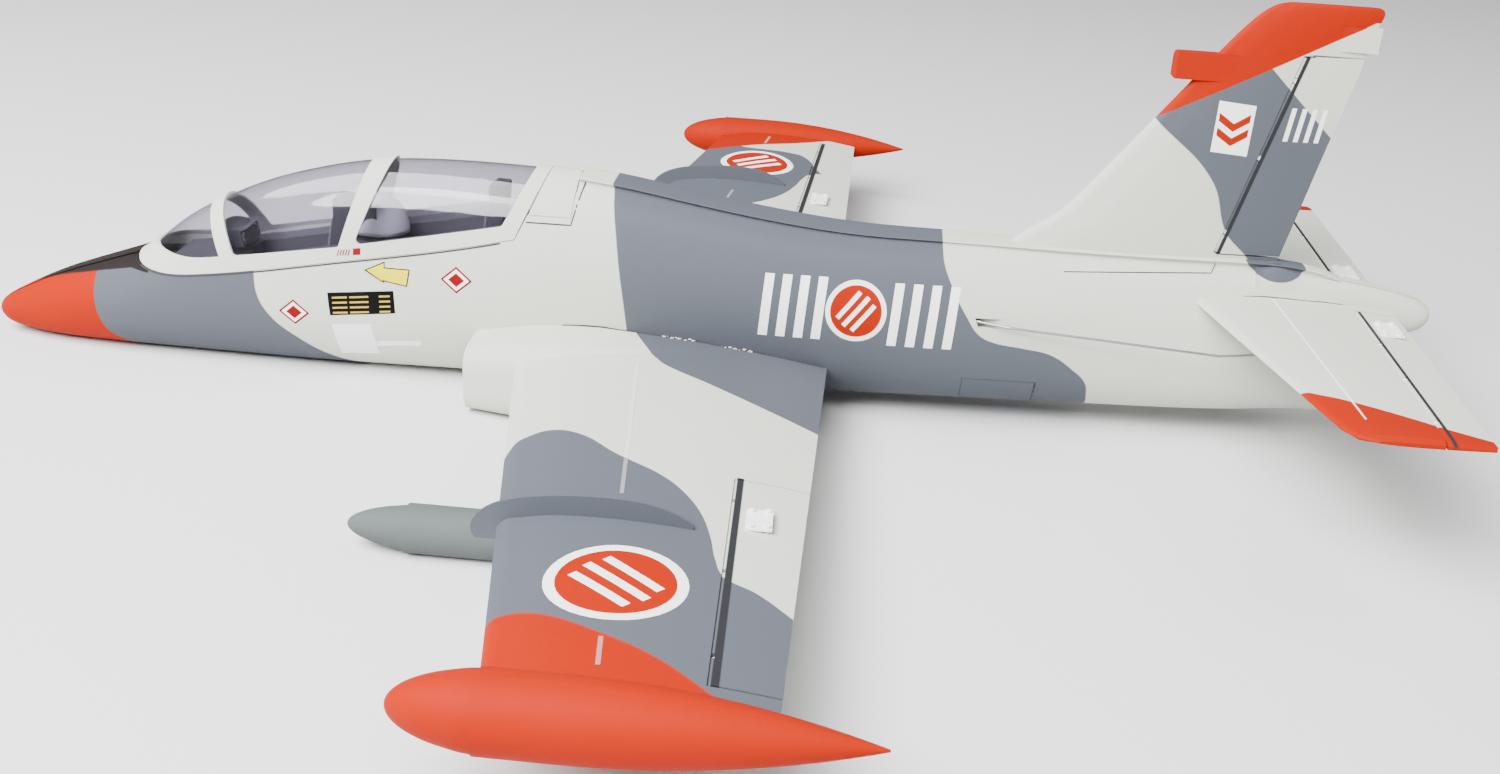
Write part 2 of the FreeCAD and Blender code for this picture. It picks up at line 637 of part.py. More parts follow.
def tank_of(nose, length, radius, x, z, blunt, taper):
    """A body of revolution: elliptic nose, straight middle, arched tail."""
    steps = 10
    turns = [math.pi / 2 * i / steps for i in range(steps + 1)]
    front = [V(x, nose + blunt * (1 - math.cos(t)), z + radius * math.sin(t)) for t in turns]
    tail_start = nose + length - taper
    shares = [i / steps for i in range(steps + 1)]
    tail = [V(x, tail_start + taper * t, z + radius * (1 - (0.985 * t) ** 2.1)) for t in shares]
    nose_curve = Part.BSplineCurve()
    nose_curve.interpolate(Points=front, InitialTangent=V(0, 0, radius), FinalTangent=V(0, blunt, 0))
    tail_curve = Part.BSplineCurve()
    tail_curve.interpolate(Points=tail)
    axis_front, axis_back = V(x, nose, z), V(x, nose + length, z)
    wire = Part.Wire([nose_curve.toShape(), Part.makeLine(front[-1], tail[0]), tail_curve.toShape(),
                      Part.makeLine(tail[-1], axis_back), Part.makeLine(axis_back, axis_front)])
    return Part.Face(wire).revolve(V(x, 0, z), V(0, 1, 0), 360)


tip_tank = tank_of(v["tip_tank_nose"], v["tip_tank_length"], v["tip_tank_radius"], v["tip_tank_x"],
                   v["tip_tank_z"], 58, 150)
drop_tank = tank_of(v["drop_tank_nose"], v["drop_tank_length"], v["drop_tank_radius"], v["drop_tank_x"],
                    v["drop_tank_z"], 62, 86)

FENCE_OUTLINE = [(456, 25), (453.5, 33), (459, 42), (468, 48), (493, 54.5), (530, 57), (557, 54), (577, 44.5),
                 (577, 36), (490, 33), (472, 25)]
aileron_link = Linkage(hinge_point(300), aileron_axis, aileron_down, aileron_aft,
                       hinge_point(300) - aileron_aft * 41)
rod_in = straight_point(aileron_a, aileron_b, 0.01)
rod_out = straight_point(aileron_a, aileron_b, 0.99)
nose_in = wing_half_depth(aileron_a.x, aileron_a.y) * v["nose_share"]
nose_out = wing_half_depth(aileron_b.x, aileron_b.y) * v["nose_share"]
passage = intake_passage()
wing_whole = wing_loft.fuse(intake_fairing())
aileron_shape = split_surface(wing_loft, aileron_outline, aileron_a, aileron_b, nose_in, nose_out)[0]
wing_shape = split_surface(wing_whole, aileron_outline, aileron_a, aileron_b, nose_in, nose_out)[1]
brackets = []
slots = []
for share in (0.12, 0.5, 0.88):
    spot = straight_point(aileron_a, aileron_b, share)
    brackets.append(bracket_at(spot, aileron_axis, aileron_aft, 15))
    slots.append(bracket_slot(spot, aileron_axis, aileron_aft, 7, 3))
aileron_rod = Part.makeCylinder(v["rod_radius"], (rod_out - rod_in).Length, rod_in, aileron_axis)
bore_radius = v["rod_radius"] + v["rod_clearance"]
aileron_bore = Part.makeCylinder(bore_radius, 240, aileron_a - aileron_axis * 5, aileron_axis)
spar_a = V(8, 500, wing_plane(8) + 1)
spar_b = V(430, 546, wing_plane(430) + 1)
spar_tube = Part.makeCylinder(4, (spar_b - spar_a).Length, spar_a, spar_b - spar_a)
spar_hole = Part.makeCylinder(2.8, (spar_b - spar_a).Length, spar_a, spar_b - spar_a)
horn_depth = wing_half_depth(300, hinge_point(300).y + 15)
aileron_horn = aileron_link.horn(0.0, horn_depth, 15, 0.4)
wing_shape = wing_shape.cut([full_skin, passage, tip_tank, spar_tube, aileron_link.servo_pocket(),
                             aileron_link.arm_pocket(30)] + brackets)
aileron_shape = aileron_shape.cut(slots + [aileron_bore, aileron_horn])
fence = side_prism(FENCE_OUTLINE, both=False, reach=v["fence_thickness"], curve_count=8)
fence.translate(V(v["fence_x"] - v["fence_thickness"] / 2, 0, 0))
fence = fence.cut(wing_loft)
pylon = Part.makeBox(4, 96, 34, V(v["drop_tank_x"] - 2, 462, v["drop_tank_z"] + 5))
pylon = pylon.makeFillet(1.9, [e for e in pylon.Edges if abs(e.Vertexes[0].Z - e.Vertexes[-1].Z) > 20])
drop_tank = drop_tank.fuse(pylon.cut(wing_loft)).removeSplitter()

left_parts = {
    "wing": wing_shape, "wing_fence": fence, "tip_tank": tip_tank, "drop_tank": drop_tank,
    "wing_spar": spar_tube.cut(spar_hole), "aileron": aileron_shape, "aileron_horn": aileron_horn,
    "aileron_servo_arm": aileron_link.arm(), "aileron_pushrod": aileron_link.pushrod(0.0),
}

# ---------------------------------------------------------------- tailplane and elevators
def stab_section(x, lead, thickness, trail=1027.0):
    edge = 1.2 if thickness > 3 else 0.6
    return aerofoil(lead, trail, thickness, 0.0, edge, lambda y, h: V(x, y, v["stab_z"] + h))


def stab_depth(x, y):
    lead = 895 + (x - 44) * 0.265
    thickness = 12.0 - 5.0 * (x - 8) / 207
    share = (y - lead) / (1027 - lead)
    return profile_half(share) * thickness + 0.6 * share


stab_loft = Part.makeLoft([stab_section(8, 885.5, 12.0), stab_section(215, 940.3, 7.0)], True, True)
stab_tip = Part.makeLoft([stab_section(215, 940.3, 7.0), stab_section(226, 946.5, 5.6),
                          stab_section(v["stab_tip_x"], 958, 2.4, 1025.0)], True, True)
stab_whole = stab_loft.fuse(stab_tip).removeSplitter()
elevator_a = V(v["elevator_in"], v["stab_hinge"], v["stab_z"])
elevator_b = V(v["stab_tip_x"] + 1, v["stab_hinge"], v["stab_z"])


def elevator_outline(margin):
    return Part.makeBox(240, 60, 40, V(v["elevator_in"] - margin, v["stab_hinge"], v["stab_z"] - 20))


elevator_shape, stab_shape = split_surface(stab_whole, elevator_outline, elevator_a, elevator_b,
                                           stab_depth(24, 1000), stab_depth(231, 1000))
elevator_link = Linkage(V(56, v["stab_hinge"], v["stab_z"]), V(1, 0, 0), V(0, 0, -1), V(0, 1, 0),
                        V(29.5, 728, 77.5))
elevator_horn = elevator_link.horn(0.0, stab_depth(56, 1011), 12, 0.4)
ROD_EXIT = V(45.7, 762, 64.3)
for share in (0.28, 0.55, 0.85):
    spot = straight_point(elevator_a, elevator_b, share)
    bracket = bracket_at(spot, V(1, 0, 0), V(0, 1, 0), 12)
    brackets.append(bracket)
    stab_shape = stab_shape.cut(bracket)
    elevator_shape = elevator_shape.cut(bracket_slot(spot, V(1, 0, 0), V(0, 1, 0), 6, 3))
elevator_rod = Part.makeCylinder(v["rod_radius"], 196, elevator_a + V(2, 0, 0), V(1, 0, 0))
elevator_bore = Part.makeCylinder(bore_radius, 205, elevator_a - V(3, 0, 0), V(1, 0, 0))
elevator_shape = elevator_shape.cut([elevator_bore, elevator_horn])
left_parts["stabilizer"] = stab_shape.cut(full_skin)
left_parts["elevator"] = elevator_shape
left_parts["elevator_horn"] = elevator_horn
left_parts["elevator_servo_arm"] = elevator_link.arm()
left_parts["elevator_pushrod"] = elevator_link.pushrod(0.0, [ROD_EXIT, V(54.5, 905, 59.5)])

for name, shape in left_parts.items():
    left = solid_feature("left_" + name, shape)
    mirror(left, "right_" + name)
side_brackets = list(brackets)

# ---------------------------------------------------------------- fin and rudder
FIN_HEIGHTS = [95, 110, 123, 133, 158, 207, 257, 280, 288, 291]
fin_lead = eased(FIN_HEIGHTS, [742, 757, 771, 785, 808, 845, 882, 901, 911, 923])


def fin_trail(z):
    return 943 + (z - 100) * 0.2098 if z < 290 else 975.0


def fin_thickness(z):
    return 13.6 - 6.2 * (z - 95) / 190 if z < 284 else (5.6 if z < 290 else 2.6)


def fin_section(z):
    return aerofoil(fin_lead(z), fin_trail(z), fin_thickness(z), 0.0, 1.2, lambda y, h: V(h, y, z))


fin_loft = Part.makeLoft([fin_section(z) for z in FIN_HEIGHTS], True, False)
aerial = Part.makeBox(8.4, 60, 18, V(-4.2, 851.5, 236.5))
aerial = aerial.makeFillet(3.2, [e for e in aerial.Edges if abs(e.Vertexes[0].Y - 851.5) < 0.1
                                 and abs(e.Vertexes[-1].Y - 851.5) < 0.1])
lamp = Part.makeBox(5.6, 26, 16.5, V(-2.8, 958, 261.5))
lamp = lamp.makeFillet(1.6, [e for e in lamp.Edges if abs(e.Vertexes[0].Y - 984) < 0.1
                             and abs(e.Vertexes[-1].Y - 984) < 0.1])
rudder_a = V(0, v["rudder_low_y"], v["rudder_low_z"])
rudder_b = V(0, v["rudder_high_y"], v["rudder_high_z"])
rudder_axis = (rudder_b - rudder_a).normalize()
rudder_aft = V(0, rudder_axis.z, -rudder_axis.y)


def rudder_outline(margin):
    """The prism behind the rudder hinge line, cut level at top and bottom."""
    low_z, high_z = v["rudder_low_z"] + 1.5 - margin, v["rudder_high_z"] + margin
    run = (rudder_b.y - rudder_a.y) / (rudder_b.z - rudder_a.z)
    low = (rudder_a.y + (low_z - rudder_a.z) * run, low_z)
    high = (rudder_a.y + (high_z - rudder_a.z) * run, high_z)
    return side_prism([low, high, (1000, high_z), (1000, low_z)], reach=30)


def fin_depth(y, z):
    share = (y - fin_lead(z)) / (fin_trail(z) - fin_lead(z))
    return profile_half(share) * fin_thickness(z) + 0.6 * share


rudder_low = rudder_a + rudder_axis * 2.6
rudder_high = rudder_b - rudder_axis * 1.2
rudder_nose_low = fin_depth(902, 117) * v["nose_share"]
rudder_nose_high = fin_depth(938, 257) * v["nose_share"]
rudder_shape, fin_shape = split_surface(fin_loft, rudder_outline, rudder_low, rudder_high, rudder_nose_low,
                                        rudder_nose_high)
fin_shape = fin_shape.fuse([aerial, lamp]).removeSplitter()
rudder_link = Linkage(rudder_a + rudder_axis * 38, rudder_axis, V(-1, 0, 0), rudder_aft,
                      rudder_a + rudder_axis * 38 - rudder_aft * 46 - V(2.4, 0, 0))
rudder_horn_depth = fin_depth(926, 152)
rudder_horn = rudder_link.horn(0.0, rudder_horn_depth, 13, 0.4, plate=False)
for share in (0.12, 0.5, 0.88):
    spot = straight_point(rudder_a, rudder_b, share)
    bracket = bracket_at(spot, rudder_axis, rudder_aft, 12)
    brackets.append(bracket)
    fin_shape = fin_shape.cut(bracket)
    rudder_shape = rudder_shape.cut(bracket_slot(spot, rudder_axis, rudder_aft, 6, 3))
rudder_rod = Part.makeCylinder(v["rod_radius"], 138, rudder_a + rudder_axis * 4, rudder_axis)
rudder_bore = Part.makeCylinder(bore_radius, 150, rudder_a - rudder_axis * 2, rudder_axis)
# the nose stops short of the fin at the top, because the leaning hinge lifts it as it turns
rudder_top_relief = Part.makeBox(12, 12, 5, rudder_b + V(-6, -6.5, -1.0))
rudder_shape = rudder_shape.cut([rudder_bore, rudder_horn, rudder_top_relief])
fin_shape = fin_shape.cut([full_skin, rudder_link.servo_pocket(), rudder_link.arm_pocket(16)])
solid_feature("fin", fin_shape)
solid_feature("rudder", rudder_shape)
solid_feature("rudder_horn", rudder_horn)
solid_feature("rudder_servo_arm", rudder_link.arm())
solid_feature("rudder_pushrod", rudder_link.pushrod(0.0))


def mirrored(shape):
    return shape.mirror(V(0, 0, 0), V(1, 0, 0))


solid_feature("hinge_brackets", Part.makeCompound(brackets + [mirrored(b) for b in side_brackets]))
solid_feature("hinge_rods", Part.makeCompound([aileron_rod, elevator_rod, mirrored(aileron_rod),
                                               mirrored(elevator_rod), rudder_rod]))
for label, linkage in (("aileron_servo", aileron_link), ("elevator_servo", elevator_link)):
    mirror(servo("left_" + label, linkage), "right_" + label)
servo("rudder_servo", rudder_link)

# ---------------------------------------------------------------- fuselage shells
def ring_loft(stations, radii, heights):
    rings = []
    for y, radius, z in zip(stations, radii, heights):
        rings.append(Part.Wire([Part.makeCircle(radius, V(0, y, z), V(0, 1, 0))]))
    return Part.makeLoft(rings, True, False)


DUCT_STATIONS = [768.5, 800, 830, 890, 940, 991]
duct_heights = [v["fan_axis_z"], 34, 33.8, 33.2, 32.6, 31.8]
outlet = v["nozzle_radius"] + v["duct_wall"]
duct_radii = [v["fan_radius"], 31.2, 29.2, 26.2, 24.2, outlet]
duct_solid = ring_loft(DUCT_STATIONS, duct_radii, duct_heights)
duct_air = ring_loft([DUCT_STATIONS[0] - 1] + DUCT_STATIONS[1:-1] + [DUCT_STATIONS[-1] + 1],
                     [r - v["duct_wall"] for r in duct_radii], duct_heights)
cavity = half_hull(v["foam_wall"], front=44, back=900, with_cone=False)
TRAY = (165.0, 470.0, 19.0, 3.0)
STRAP = (230.0, 20.0, 1.2)
HATCH_FRONT, HATCH_BACK, HATCH_TOP = 733.0, 785.0, 21.0
HATCH_PLAY = 0.3
HATCH_LONG = HATCH_BACK - HATCH_FRONT
hatch_box = Part.makeBox(120, HATCH_LONG, 60, V(-60, HATCH_FRONT, HATCH_TOP - 60))
hatch_cover_box = Part.makeBox(120, HATCH_LONG - 2 * HATCH_PLAY, 60,
                               V(-60, HATCH_FRONT + HATCH_PLAY, HATCH_TOP - 60 - HATCH_PLAY))
full_cavity = whole(cavity)
fan_room = Part.makeCylinder(v["fan_radius"] + 0.2, v["fan_length"] + 2,
                             V(0, v["fan_front"] - 1, v["fan_axis_z"]), V(0, 1, 0))
tray_seat = Part.makeBox(2 * TRAY[2] + 0.4, TRAY[1] - TRAY[0] + 0.4, TRAY[3] + 30,
                         V(-TRAY[2] - 0.2, TRAY[0] - 0.2, v["tray_top"] - TRAY[3] - 0.1))
strap_floor = v["tray_top"] - TRAY[3] - STRAP[2] - 0.2
strap_seat = Part.makeBox(v["battery_wide"] + 3.2, STRAP[1] + 1, v["battery_tall"] + 6,
                          V(-v["battery_wide"] / 2 - 1.6, STRAP[0] - 0.5, strap_floor))
servo_block = Part.makeBox(44, 38, 17, V(6, 704, 70))
SLOT_PLAN = [(33, 711.5), (33, 734.5), (52, 792.9), (52, 769.9), (33, 711.5)]
SLOT_FLOOR = 61.1
rod_slot = Part.Face(Part.makePolygon([V(x, y, SLOT_FLOOR) for x, y in SLOT_PLAN])).extrude(V(0, 0, 6.9))
left_shell = half_skin.cut([cavity.cut(servo_block), hatch_zone, duct_solid, passage, hatch_box, fan_room,
                            spar_tube, elevator_link.servo_pocket(), elevator_link.arm_pocket(18), rod_slot,
                            tray_seat, strap_seat])
left_shell_node = solid_feature("fuselage_left_shell", left_shell)
mirror(left_shell_node, "fuselage_right_shell")
solid_feature("belly_hatch", full_skin.common(hatch_cover_box).cut([full_cavity, fan_room, duct_solid]))
solid_feature("exhaust_duct", duct_solid.cut(duct_air))

# ---------------------------------------------------------------- fan, motor and rotor
fan_y = "size.fan_front"
fan_z = "size.fan_axis_z"
AFT = V(0, 1, 0)
fan_outside = cylinder("fan_outside", "size.fan_radius", "size.fan_length", ("0", fan_y, fan_z), AFT)
fan_inside = cylinder("fan_inside", "size.fan_radius - size.fan_wall", "size.fan_length + 2",
                      ("0", fan_y + " - 1", fan_z), AFT)
fan_ring = cut("fan_ring", fan_outside, fan_inside)
hub_outside = cylinder("hub_outside", "size.fan_hub_radius", "24", ("0", fan_y + " + 26", fan_z), AFT)
hub_inside = cylinder("hub_inside", "size.motor_radius", "22", ("0", fan_y + " + 29", fan_z), AFT)
hub_shaft_hole = cylinder("hub_shaft_hole", "size.shaft_radius + 0.4", "8", ("0", fan_y + " + 24", fan_z), AFT)
hub_cup = cut("hub_cup", cut("hub_open", hub_outside, hub_inside), hub_shaft_hole)
vanes = []
VANES = 5
for i in range(VANES):
    vane = doc.addObject("Part::Box", "stator_vane_%d" % (i + 1))
    bind(vane, Length="1.6", Width="18", Height="size.fan_radius - size.fan_hub_radius - 0.4")
    turn = Rotation(V(0, 1, 0), 360.0 / VANES * i + 18)
    offset = turn.multVec(V(-0.8, 0, v["fan_hub_radius"] - 0.6))
    vane.Placement = FreeCAD.Placement(offset, turn)
    bind(vane, Placement__Base__y=fan_y + " + 30", Placement__Base__z="%.4f + size.fan_axis_z" % offset.z)
    vanes.append(vane)
keep(fuse("fan_housing", [fan_ring, hub_cup] + vanes), "fan_housing")
motor_case = cylinder("motor_case", "size.motor_radius", "30", ("0", fan_y + " + 29", fan_z), AFT)
motor_bore = cylinder("motor_bore", "size.shaft_radius + 0.05", "20", ("0", fan_y + " + 28", fan_z), AFT)
motor_edge = doc.addObject("Part::Fillet", "motor_edge")
motor_edge.Base = motor_case
doc.recompute()
back_edge = [i + 1 for i, e in enumerate(motor_case.Shape.Edges)
             if abs(e.BoundBox.YMin - e.BoundBox.YMax) < 0.01 and e.BoundBox.YMin > v["fan_front"] + 40]
motor_edge.Edges = [(number, 3.0, 3.0) for number in back_edge]
keep(cut("fan_motor", motor_edge, motor_bore), "fan_motor")

BLADES = 11


def fan_rotor():
    """Hub with a round spinner, its shaft, and twisted blades round it."""
    front, axis_z = v["fan_front"], v["fan_axis_z"]
    hub = v["fan_hub_radius"] - 0.5
    steps = 8
    turns = [math.pi / 2 * i / steps for i in range(steps + 1)]
    nose = [V(0, front - 14 + 20 * (1 - math.cos(t)), axis_z + hub * math.sin(t)) for t in turns]
    curve = Part.BSplineCurve()
    curve.interpolate(Points=nose, InitialTangent=V(0, 0, hub), FinalTangent=V(0, 20, 0))
    back = front + 25
    outline = [curve.toShape(), Part.makeLine(nose[-1], V(0, back, axis_z + hub)),
               Part.makeLine(V(0, back, axis_z + hub), V(0, back, axis_z)),
               Part.makeLine(V(0, back, axis_z), nose[0])]
    rotor = Part.Face(Part.Wire(outline)).revolve(V(0, 0, axis_z), AFT, 360)
    shaft = Part.makeCylinder(v["shaft_radius"], 22, V(0, back - 2, axis_z), AFT)
    tip = v["fan_radius"] - v["fan_wall"] - v["fan_tip_gap"]

    def blade_wire(radius, pitch, chord, thick):
        def place(along, across):
            return V(along * math.cos(pitch) - across * math.sin(pitch),
                     front + 14 + along * math.sin(pitch) + across * math.cos(pitch), axis_z + radius)
        return aerofoil(-chord / 2, chord / 2, thick, 0.9, 0.4, place)
    blade = Part.makeLoft([blade_wire(hub - 1.5, 0.95, 15, 1.8), blade_wire((hub + tip) / 2, 0.7, 14, 1.6),
                           blade_wire(tip - 0.4, 0.5, 12, 1.2)], True, True)
    blades = []
    for i in range(BLADES):
        copy = blade.copy()
        copy.rotate(V(0, 0, axis_z), AFT, 360.0 / BLADES * i)
        blades.append(copy)
    return rotor.fuse(blades + [shaft]).removeSplitter()


solid_feature("fan_rotor", fan_rotor())

# ---------------------------------------------------------------- canopy hatch
CANOPY_STATIONS = [y for y in MAIN_STATIONS if y <= 600]
SKIRT_ANGLE = -0.35


def section_point(y, inset, angle):
    """A point of the fuselage section by its angle from level, moved in by the inset."""
    crown, low = top_line(y) - inset, bottom_line(y) + inset
    wide, middle = half_width(y) - inset, wide_height(y)
    reach, rise = math.cos(angle), math.sin(angle)
    n = 2.3 if rise < 0 else crown_power(y)
    height = (middle - low) if rise < 0 else (crown - middle)
    across = wide * abs(reach) ** (2 / n)
    return V(across, y, height * math.copysign(abs(rise) ** (2 / n), rise) + middle)


def arch(y, inset):
    """The section's curve over the crown from one skirt to the other."""
    steps = 9
    angles = [SKIRT_ANGLE + (math.pi / 2 - SKIRT_ANGLE) * i / steps for i in range(steps + 1)]
    left = [section_point(y, inset, angle) for angle in angles]
    left[-1].x = 0
    points = left + [V(-q.x, q.y, q.z) for q in left[-2::-1]]
    curve = Part.BSplineCurve()
    curve.interpolate(Points=points, Parameters=[float(i) for i in range(len(points))])
    return curve.toShape(), points[0], points[-1]


def arch_shell(outer_inset, inner_inset, stations):
    """A shell over the crown of the fuselage between two insets."""
    wires = []
    for y in stations:
        outer, outer_start, outer_end = arch(y, outer_inset)
        inner, inner_start, inner_end = arch(y, inner_inset)
        wires.append(Part.Wire([outer, Part.makeLine(outer_end, inner_end), inner,
                                Part.makeLine(inner_start, outer_start)]))
    return Part.makeLoft(wires, True, False)


frame_edge = [(y + 0.35, z + 0.55) for y, z in SILL[:-1]] + [(SILL[-1][0] - 0.4, SILL[-1][1] + 0.6)]
frame_zone = side_prism(frame_edge + FRAME_OUTLINE[len(SILL):], curve_count=len(SILL))
for window in (side_prism(WINDSCREEN, curve_count=7), side_prism(FRONT_WINDOW, fillet=3.5),
               side_prism(REAR_WINDOW, fillet=3.5)):
    frame_zone = frame_zone.cut(window)
glass_face = v["frame_skin"] + 0.1
frame = arch_shell(0.0, v["frame_skin"], CANOPY_STATIONS).common(frame_zone)
glazing = arch_shell(glass_face, glass_face + v["glass_skin"], CANOPY_STATIONS).common(
    side_prism(GLASS_OUTLINE, curve_count=7))
block = arch_shell(0.0, 9.0, CANOPY_STATIONS).common(side_prism(BLOCK_OUTLINE))
deck_volume = whole(half_hull(4.5, front=118, back=711, with_cone=False))
solid_feature("canopy_frame", frame)
solid_feature("canopy_glazing", glazing)
solid_feature("canopy_block", block)

DECK = [(146, 53.5), (176, 55.8), (219, 63), (279, 75), (342, 87), (404, 100.5)]
deck_top = [(y, z + 1.6) for y, z in DECK]
deck_zone = side_prism(DECK + deck_top[::-1])
deck = deck_volume.common(deck_zone)
FRONT_WELL = (204.0, 286.0, 17.5, 34.0)
REAR_WELL = (306.0, 402.0, 18.0, 50.0)
TUB_WALL = 1.4
wells = []
hollows = []
for front, back, half, floor in (FRONT_WELL, REAR_WELL):
    wells.append(Part.makeBox(2 * half, back - front, 60, V(-half, front, floor)))
    hollows.append(Part.makeBox(2 * (half - TUB_WALL), back - front - 2 * TUB_WALL, 80,
                                V(-half + TUB_WALL, front + TUB_WALL, floor + TUB_WALL)))
below_deck = side_prism(deck_top + [(404, 20), (146, 20)])
tub = deck.fuse([well.common(below_deck) for well in wells]).cut(hollows)
solid_feature("cockpit_tub", tub)


def seat(label, back_station, floor, head_height):
    """Ejection seat: pan, sloping back and head box."""
    body = doc.addObject("PartDesign::Body", label + "_body")
    outline = [(back_station - 24, floor), (back_station + 2, floor), (back_station + 13, head_height - 14),
               (back_station + 14, head_height), (back_station + 3, head_height),
               (back_station + 2, head_height - 13), (back_station - 6, floor + 11), (back_station - 24, floor + 12)]
    sketch = line_sketch(body, label + "_outline", "YZ_Plane", outline)
    base = pad(body, sketch, "20", midplane=True)
    doc.recompute()
    edges = ["Edge%d" % (i + 1) for i, e in enumerate(body.Shape.Edges)
             if abs(e.Vertexes[0].X - e.Vertexes[-1].X) > 10 and e.Vertexes[0].Z > floor + 9]
    rounded = body.newObject("PartDesign::Fillet", label + "_round")
    rounded.Base = (base, edges)
    rounded.Radius = 1.2
    return keep(body, label)


seat("front_seat", 268.0, FRONT_WELL[3] + TUB_WALL, 108.0)
seat("rear_seat", 384.0, REAR_WELL[3] + TUB_WALL, 127.0)


def coaming(label, front, back, floor, top, half):
    """Instrument panel hood: an arched box whose face looks aft at the pilot."""
    body = doc.addObject("PartDesign::Body", label + "_body")
    sketch = line_sketch(body, label + "_outline", "YZ_Plane",
                         [(front, floor), (back, floor), (back - 2, top - 3), (back + 3, top), (front + 6, top - 3)])
    pad(body, sketch, str(2 * half), midplane=True)
    return keep(body, label)


coaming("front_panel", 184.0, 203.6, 67.5, 82.0, 16.0)
coaming("rear_panel", 287.0, 305.6, 88.5, 108.0, 16.0)

# ---------------------------------------------------------------- equipment bay
tray = doc.addObject("PartDesign::Body", "tray_body")
tray_outline = line_sketch(tray, "tray_outline", "XY_Plane", [(-TRAY[2], TRAY[0]), (TRAY[2], TRAY[0]),
                                                             (TRAY[2], TRAY[1]), (-TRAY[2], TRAY[1])])
pad(tray, tray_outline, str(TRAY[3]))
tray_outline.AttachmentOffset = FreeCAD.Placement(V(0, 0, v["tray_top"] - TRAY[3]), Rotation())
tray_outline.setExpression("AttachmentOffset.Base.z", "size.tray_top - %g" % TRAY[3])
keep(tray, "equipment_tray")


def brick(label, low, high, height, floor, radius=2.0):
    """A rounded brick on the tray; low and high are its corners in plan."""
    body = doc.addObject("PartDesign::Body", label + "_body")
    sketch = line_sketch(body, label + "_outline", "XY_Plane",
                         [(low[0], low[1]), (high[0], low[1]), (high[0], high[1]), (low[0], high[1])])
    sketch.setExpression("AttachmentOffset.Base.z", floor)
    base = pad(body, sketch, height)
    doc.recompute()
    rounded = body.newObject("PartDesign::Fillet", label + "_round")
    rounded.Base = (base, ["Edge%d" % (i + 1) for i in range(len(body.Shape.Edges))])
    rounded.Radius = radius
    return keep(body, label)


brick("battery", ("-size.battery_wide / 2", "size.battery_front"),
      ("size.battery_wide / 2", "size.battery_front + size.battery_long"), "size.battery_tall", "size.tray_top", 3.0)
brick("speed_controller", (-15, 334), (15, 396), "11", "size.tray_top", 1.5)
brick("receiver", (-12, 412), (12, 458), "14", "size.tray_top", 1.2)
strap_outer = box("strap_outer", ("-size.battery_wide / 2 - %g" % STRAP[2], "%g" % STRAP[0],
                                  "size.tray_top - %g" % (TRAY[3] + STRAP[2])),
                  ("size.battery_wide + %g" % (2 * STRAP[2]), "%g" % STRAP[1],
                   "size.battery_tall + %g" % (TRAY[3] + 2 * STRAP[2])))
strap_inner = box("strap_inner",
                  ("-size.battery_wide / 2", "%g" % (STRAP[0] - 1), "size.tray_top - %g" % TRAY[3]),
                  ("size.battery_wide", "%g" % (STRAP[1] + 2), "size.battery_tall + %g" % TRAY[3]))
keep(cut("battery_strap_loop", strap_outer, strap_inner), "battery_strap")

# ---------------------------------------------------------------- check and export
doc.recompute()
for obj in doc.Objects:
    if "Invalid" in obj.State or "Error" in obj.State:
        raise SystemExit("failed object: %s %s" % (obj.Name, obj.State))
os.makedirs("parts", exist_ok=True)
for obj in nodes:
    if obj.Shape.isNull() or not obj.Shape.isValid():
        raise SystemExit("bad shape: " + obj.Label)
    obj.Shape.exportStep("parts/%s.step" % obj.Label)
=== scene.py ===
import json
import math

import bmesh
import bpy
from mathutils import Matrix, Vector
from mathutils.bvhtree import BVHTree

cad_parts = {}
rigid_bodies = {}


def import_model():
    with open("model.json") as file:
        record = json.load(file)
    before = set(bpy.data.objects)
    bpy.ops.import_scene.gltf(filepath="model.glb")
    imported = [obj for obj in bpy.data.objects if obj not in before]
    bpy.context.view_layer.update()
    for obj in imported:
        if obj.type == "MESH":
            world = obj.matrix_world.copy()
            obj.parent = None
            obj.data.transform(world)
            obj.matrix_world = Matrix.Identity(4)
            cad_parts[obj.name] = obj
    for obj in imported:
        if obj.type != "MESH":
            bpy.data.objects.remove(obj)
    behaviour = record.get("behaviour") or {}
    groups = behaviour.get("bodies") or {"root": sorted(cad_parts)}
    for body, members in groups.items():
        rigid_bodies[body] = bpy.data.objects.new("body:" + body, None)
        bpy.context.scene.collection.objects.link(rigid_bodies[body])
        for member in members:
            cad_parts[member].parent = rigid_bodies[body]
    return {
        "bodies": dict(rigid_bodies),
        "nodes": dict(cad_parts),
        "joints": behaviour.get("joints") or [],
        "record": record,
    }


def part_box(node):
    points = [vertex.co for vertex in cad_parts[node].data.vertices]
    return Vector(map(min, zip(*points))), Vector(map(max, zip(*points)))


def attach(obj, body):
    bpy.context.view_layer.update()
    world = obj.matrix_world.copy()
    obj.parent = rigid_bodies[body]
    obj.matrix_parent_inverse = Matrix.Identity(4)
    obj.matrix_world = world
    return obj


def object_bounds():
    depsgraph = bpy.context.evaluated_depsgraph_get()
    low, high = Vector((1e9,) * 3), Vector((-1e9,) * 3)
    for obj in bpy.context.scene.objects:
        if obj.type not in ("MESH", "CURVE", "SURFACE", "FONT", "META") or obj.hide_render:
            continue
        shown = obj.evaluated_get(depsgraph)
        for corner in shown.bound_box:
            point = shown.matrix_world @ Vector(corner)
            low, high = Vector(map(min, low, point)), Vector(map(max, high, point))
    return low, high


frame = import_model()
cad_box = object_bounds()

NODES = frame["nodes"]
FAN_LOW, FAN_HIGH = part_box("fan_housing")
LOW = cad_box[0]
NOSE = LOW.y                                  # nose tip station
FAN_ABOVE_NOSE = 0.034                        # how far the fan's axis is above the nose tip, m
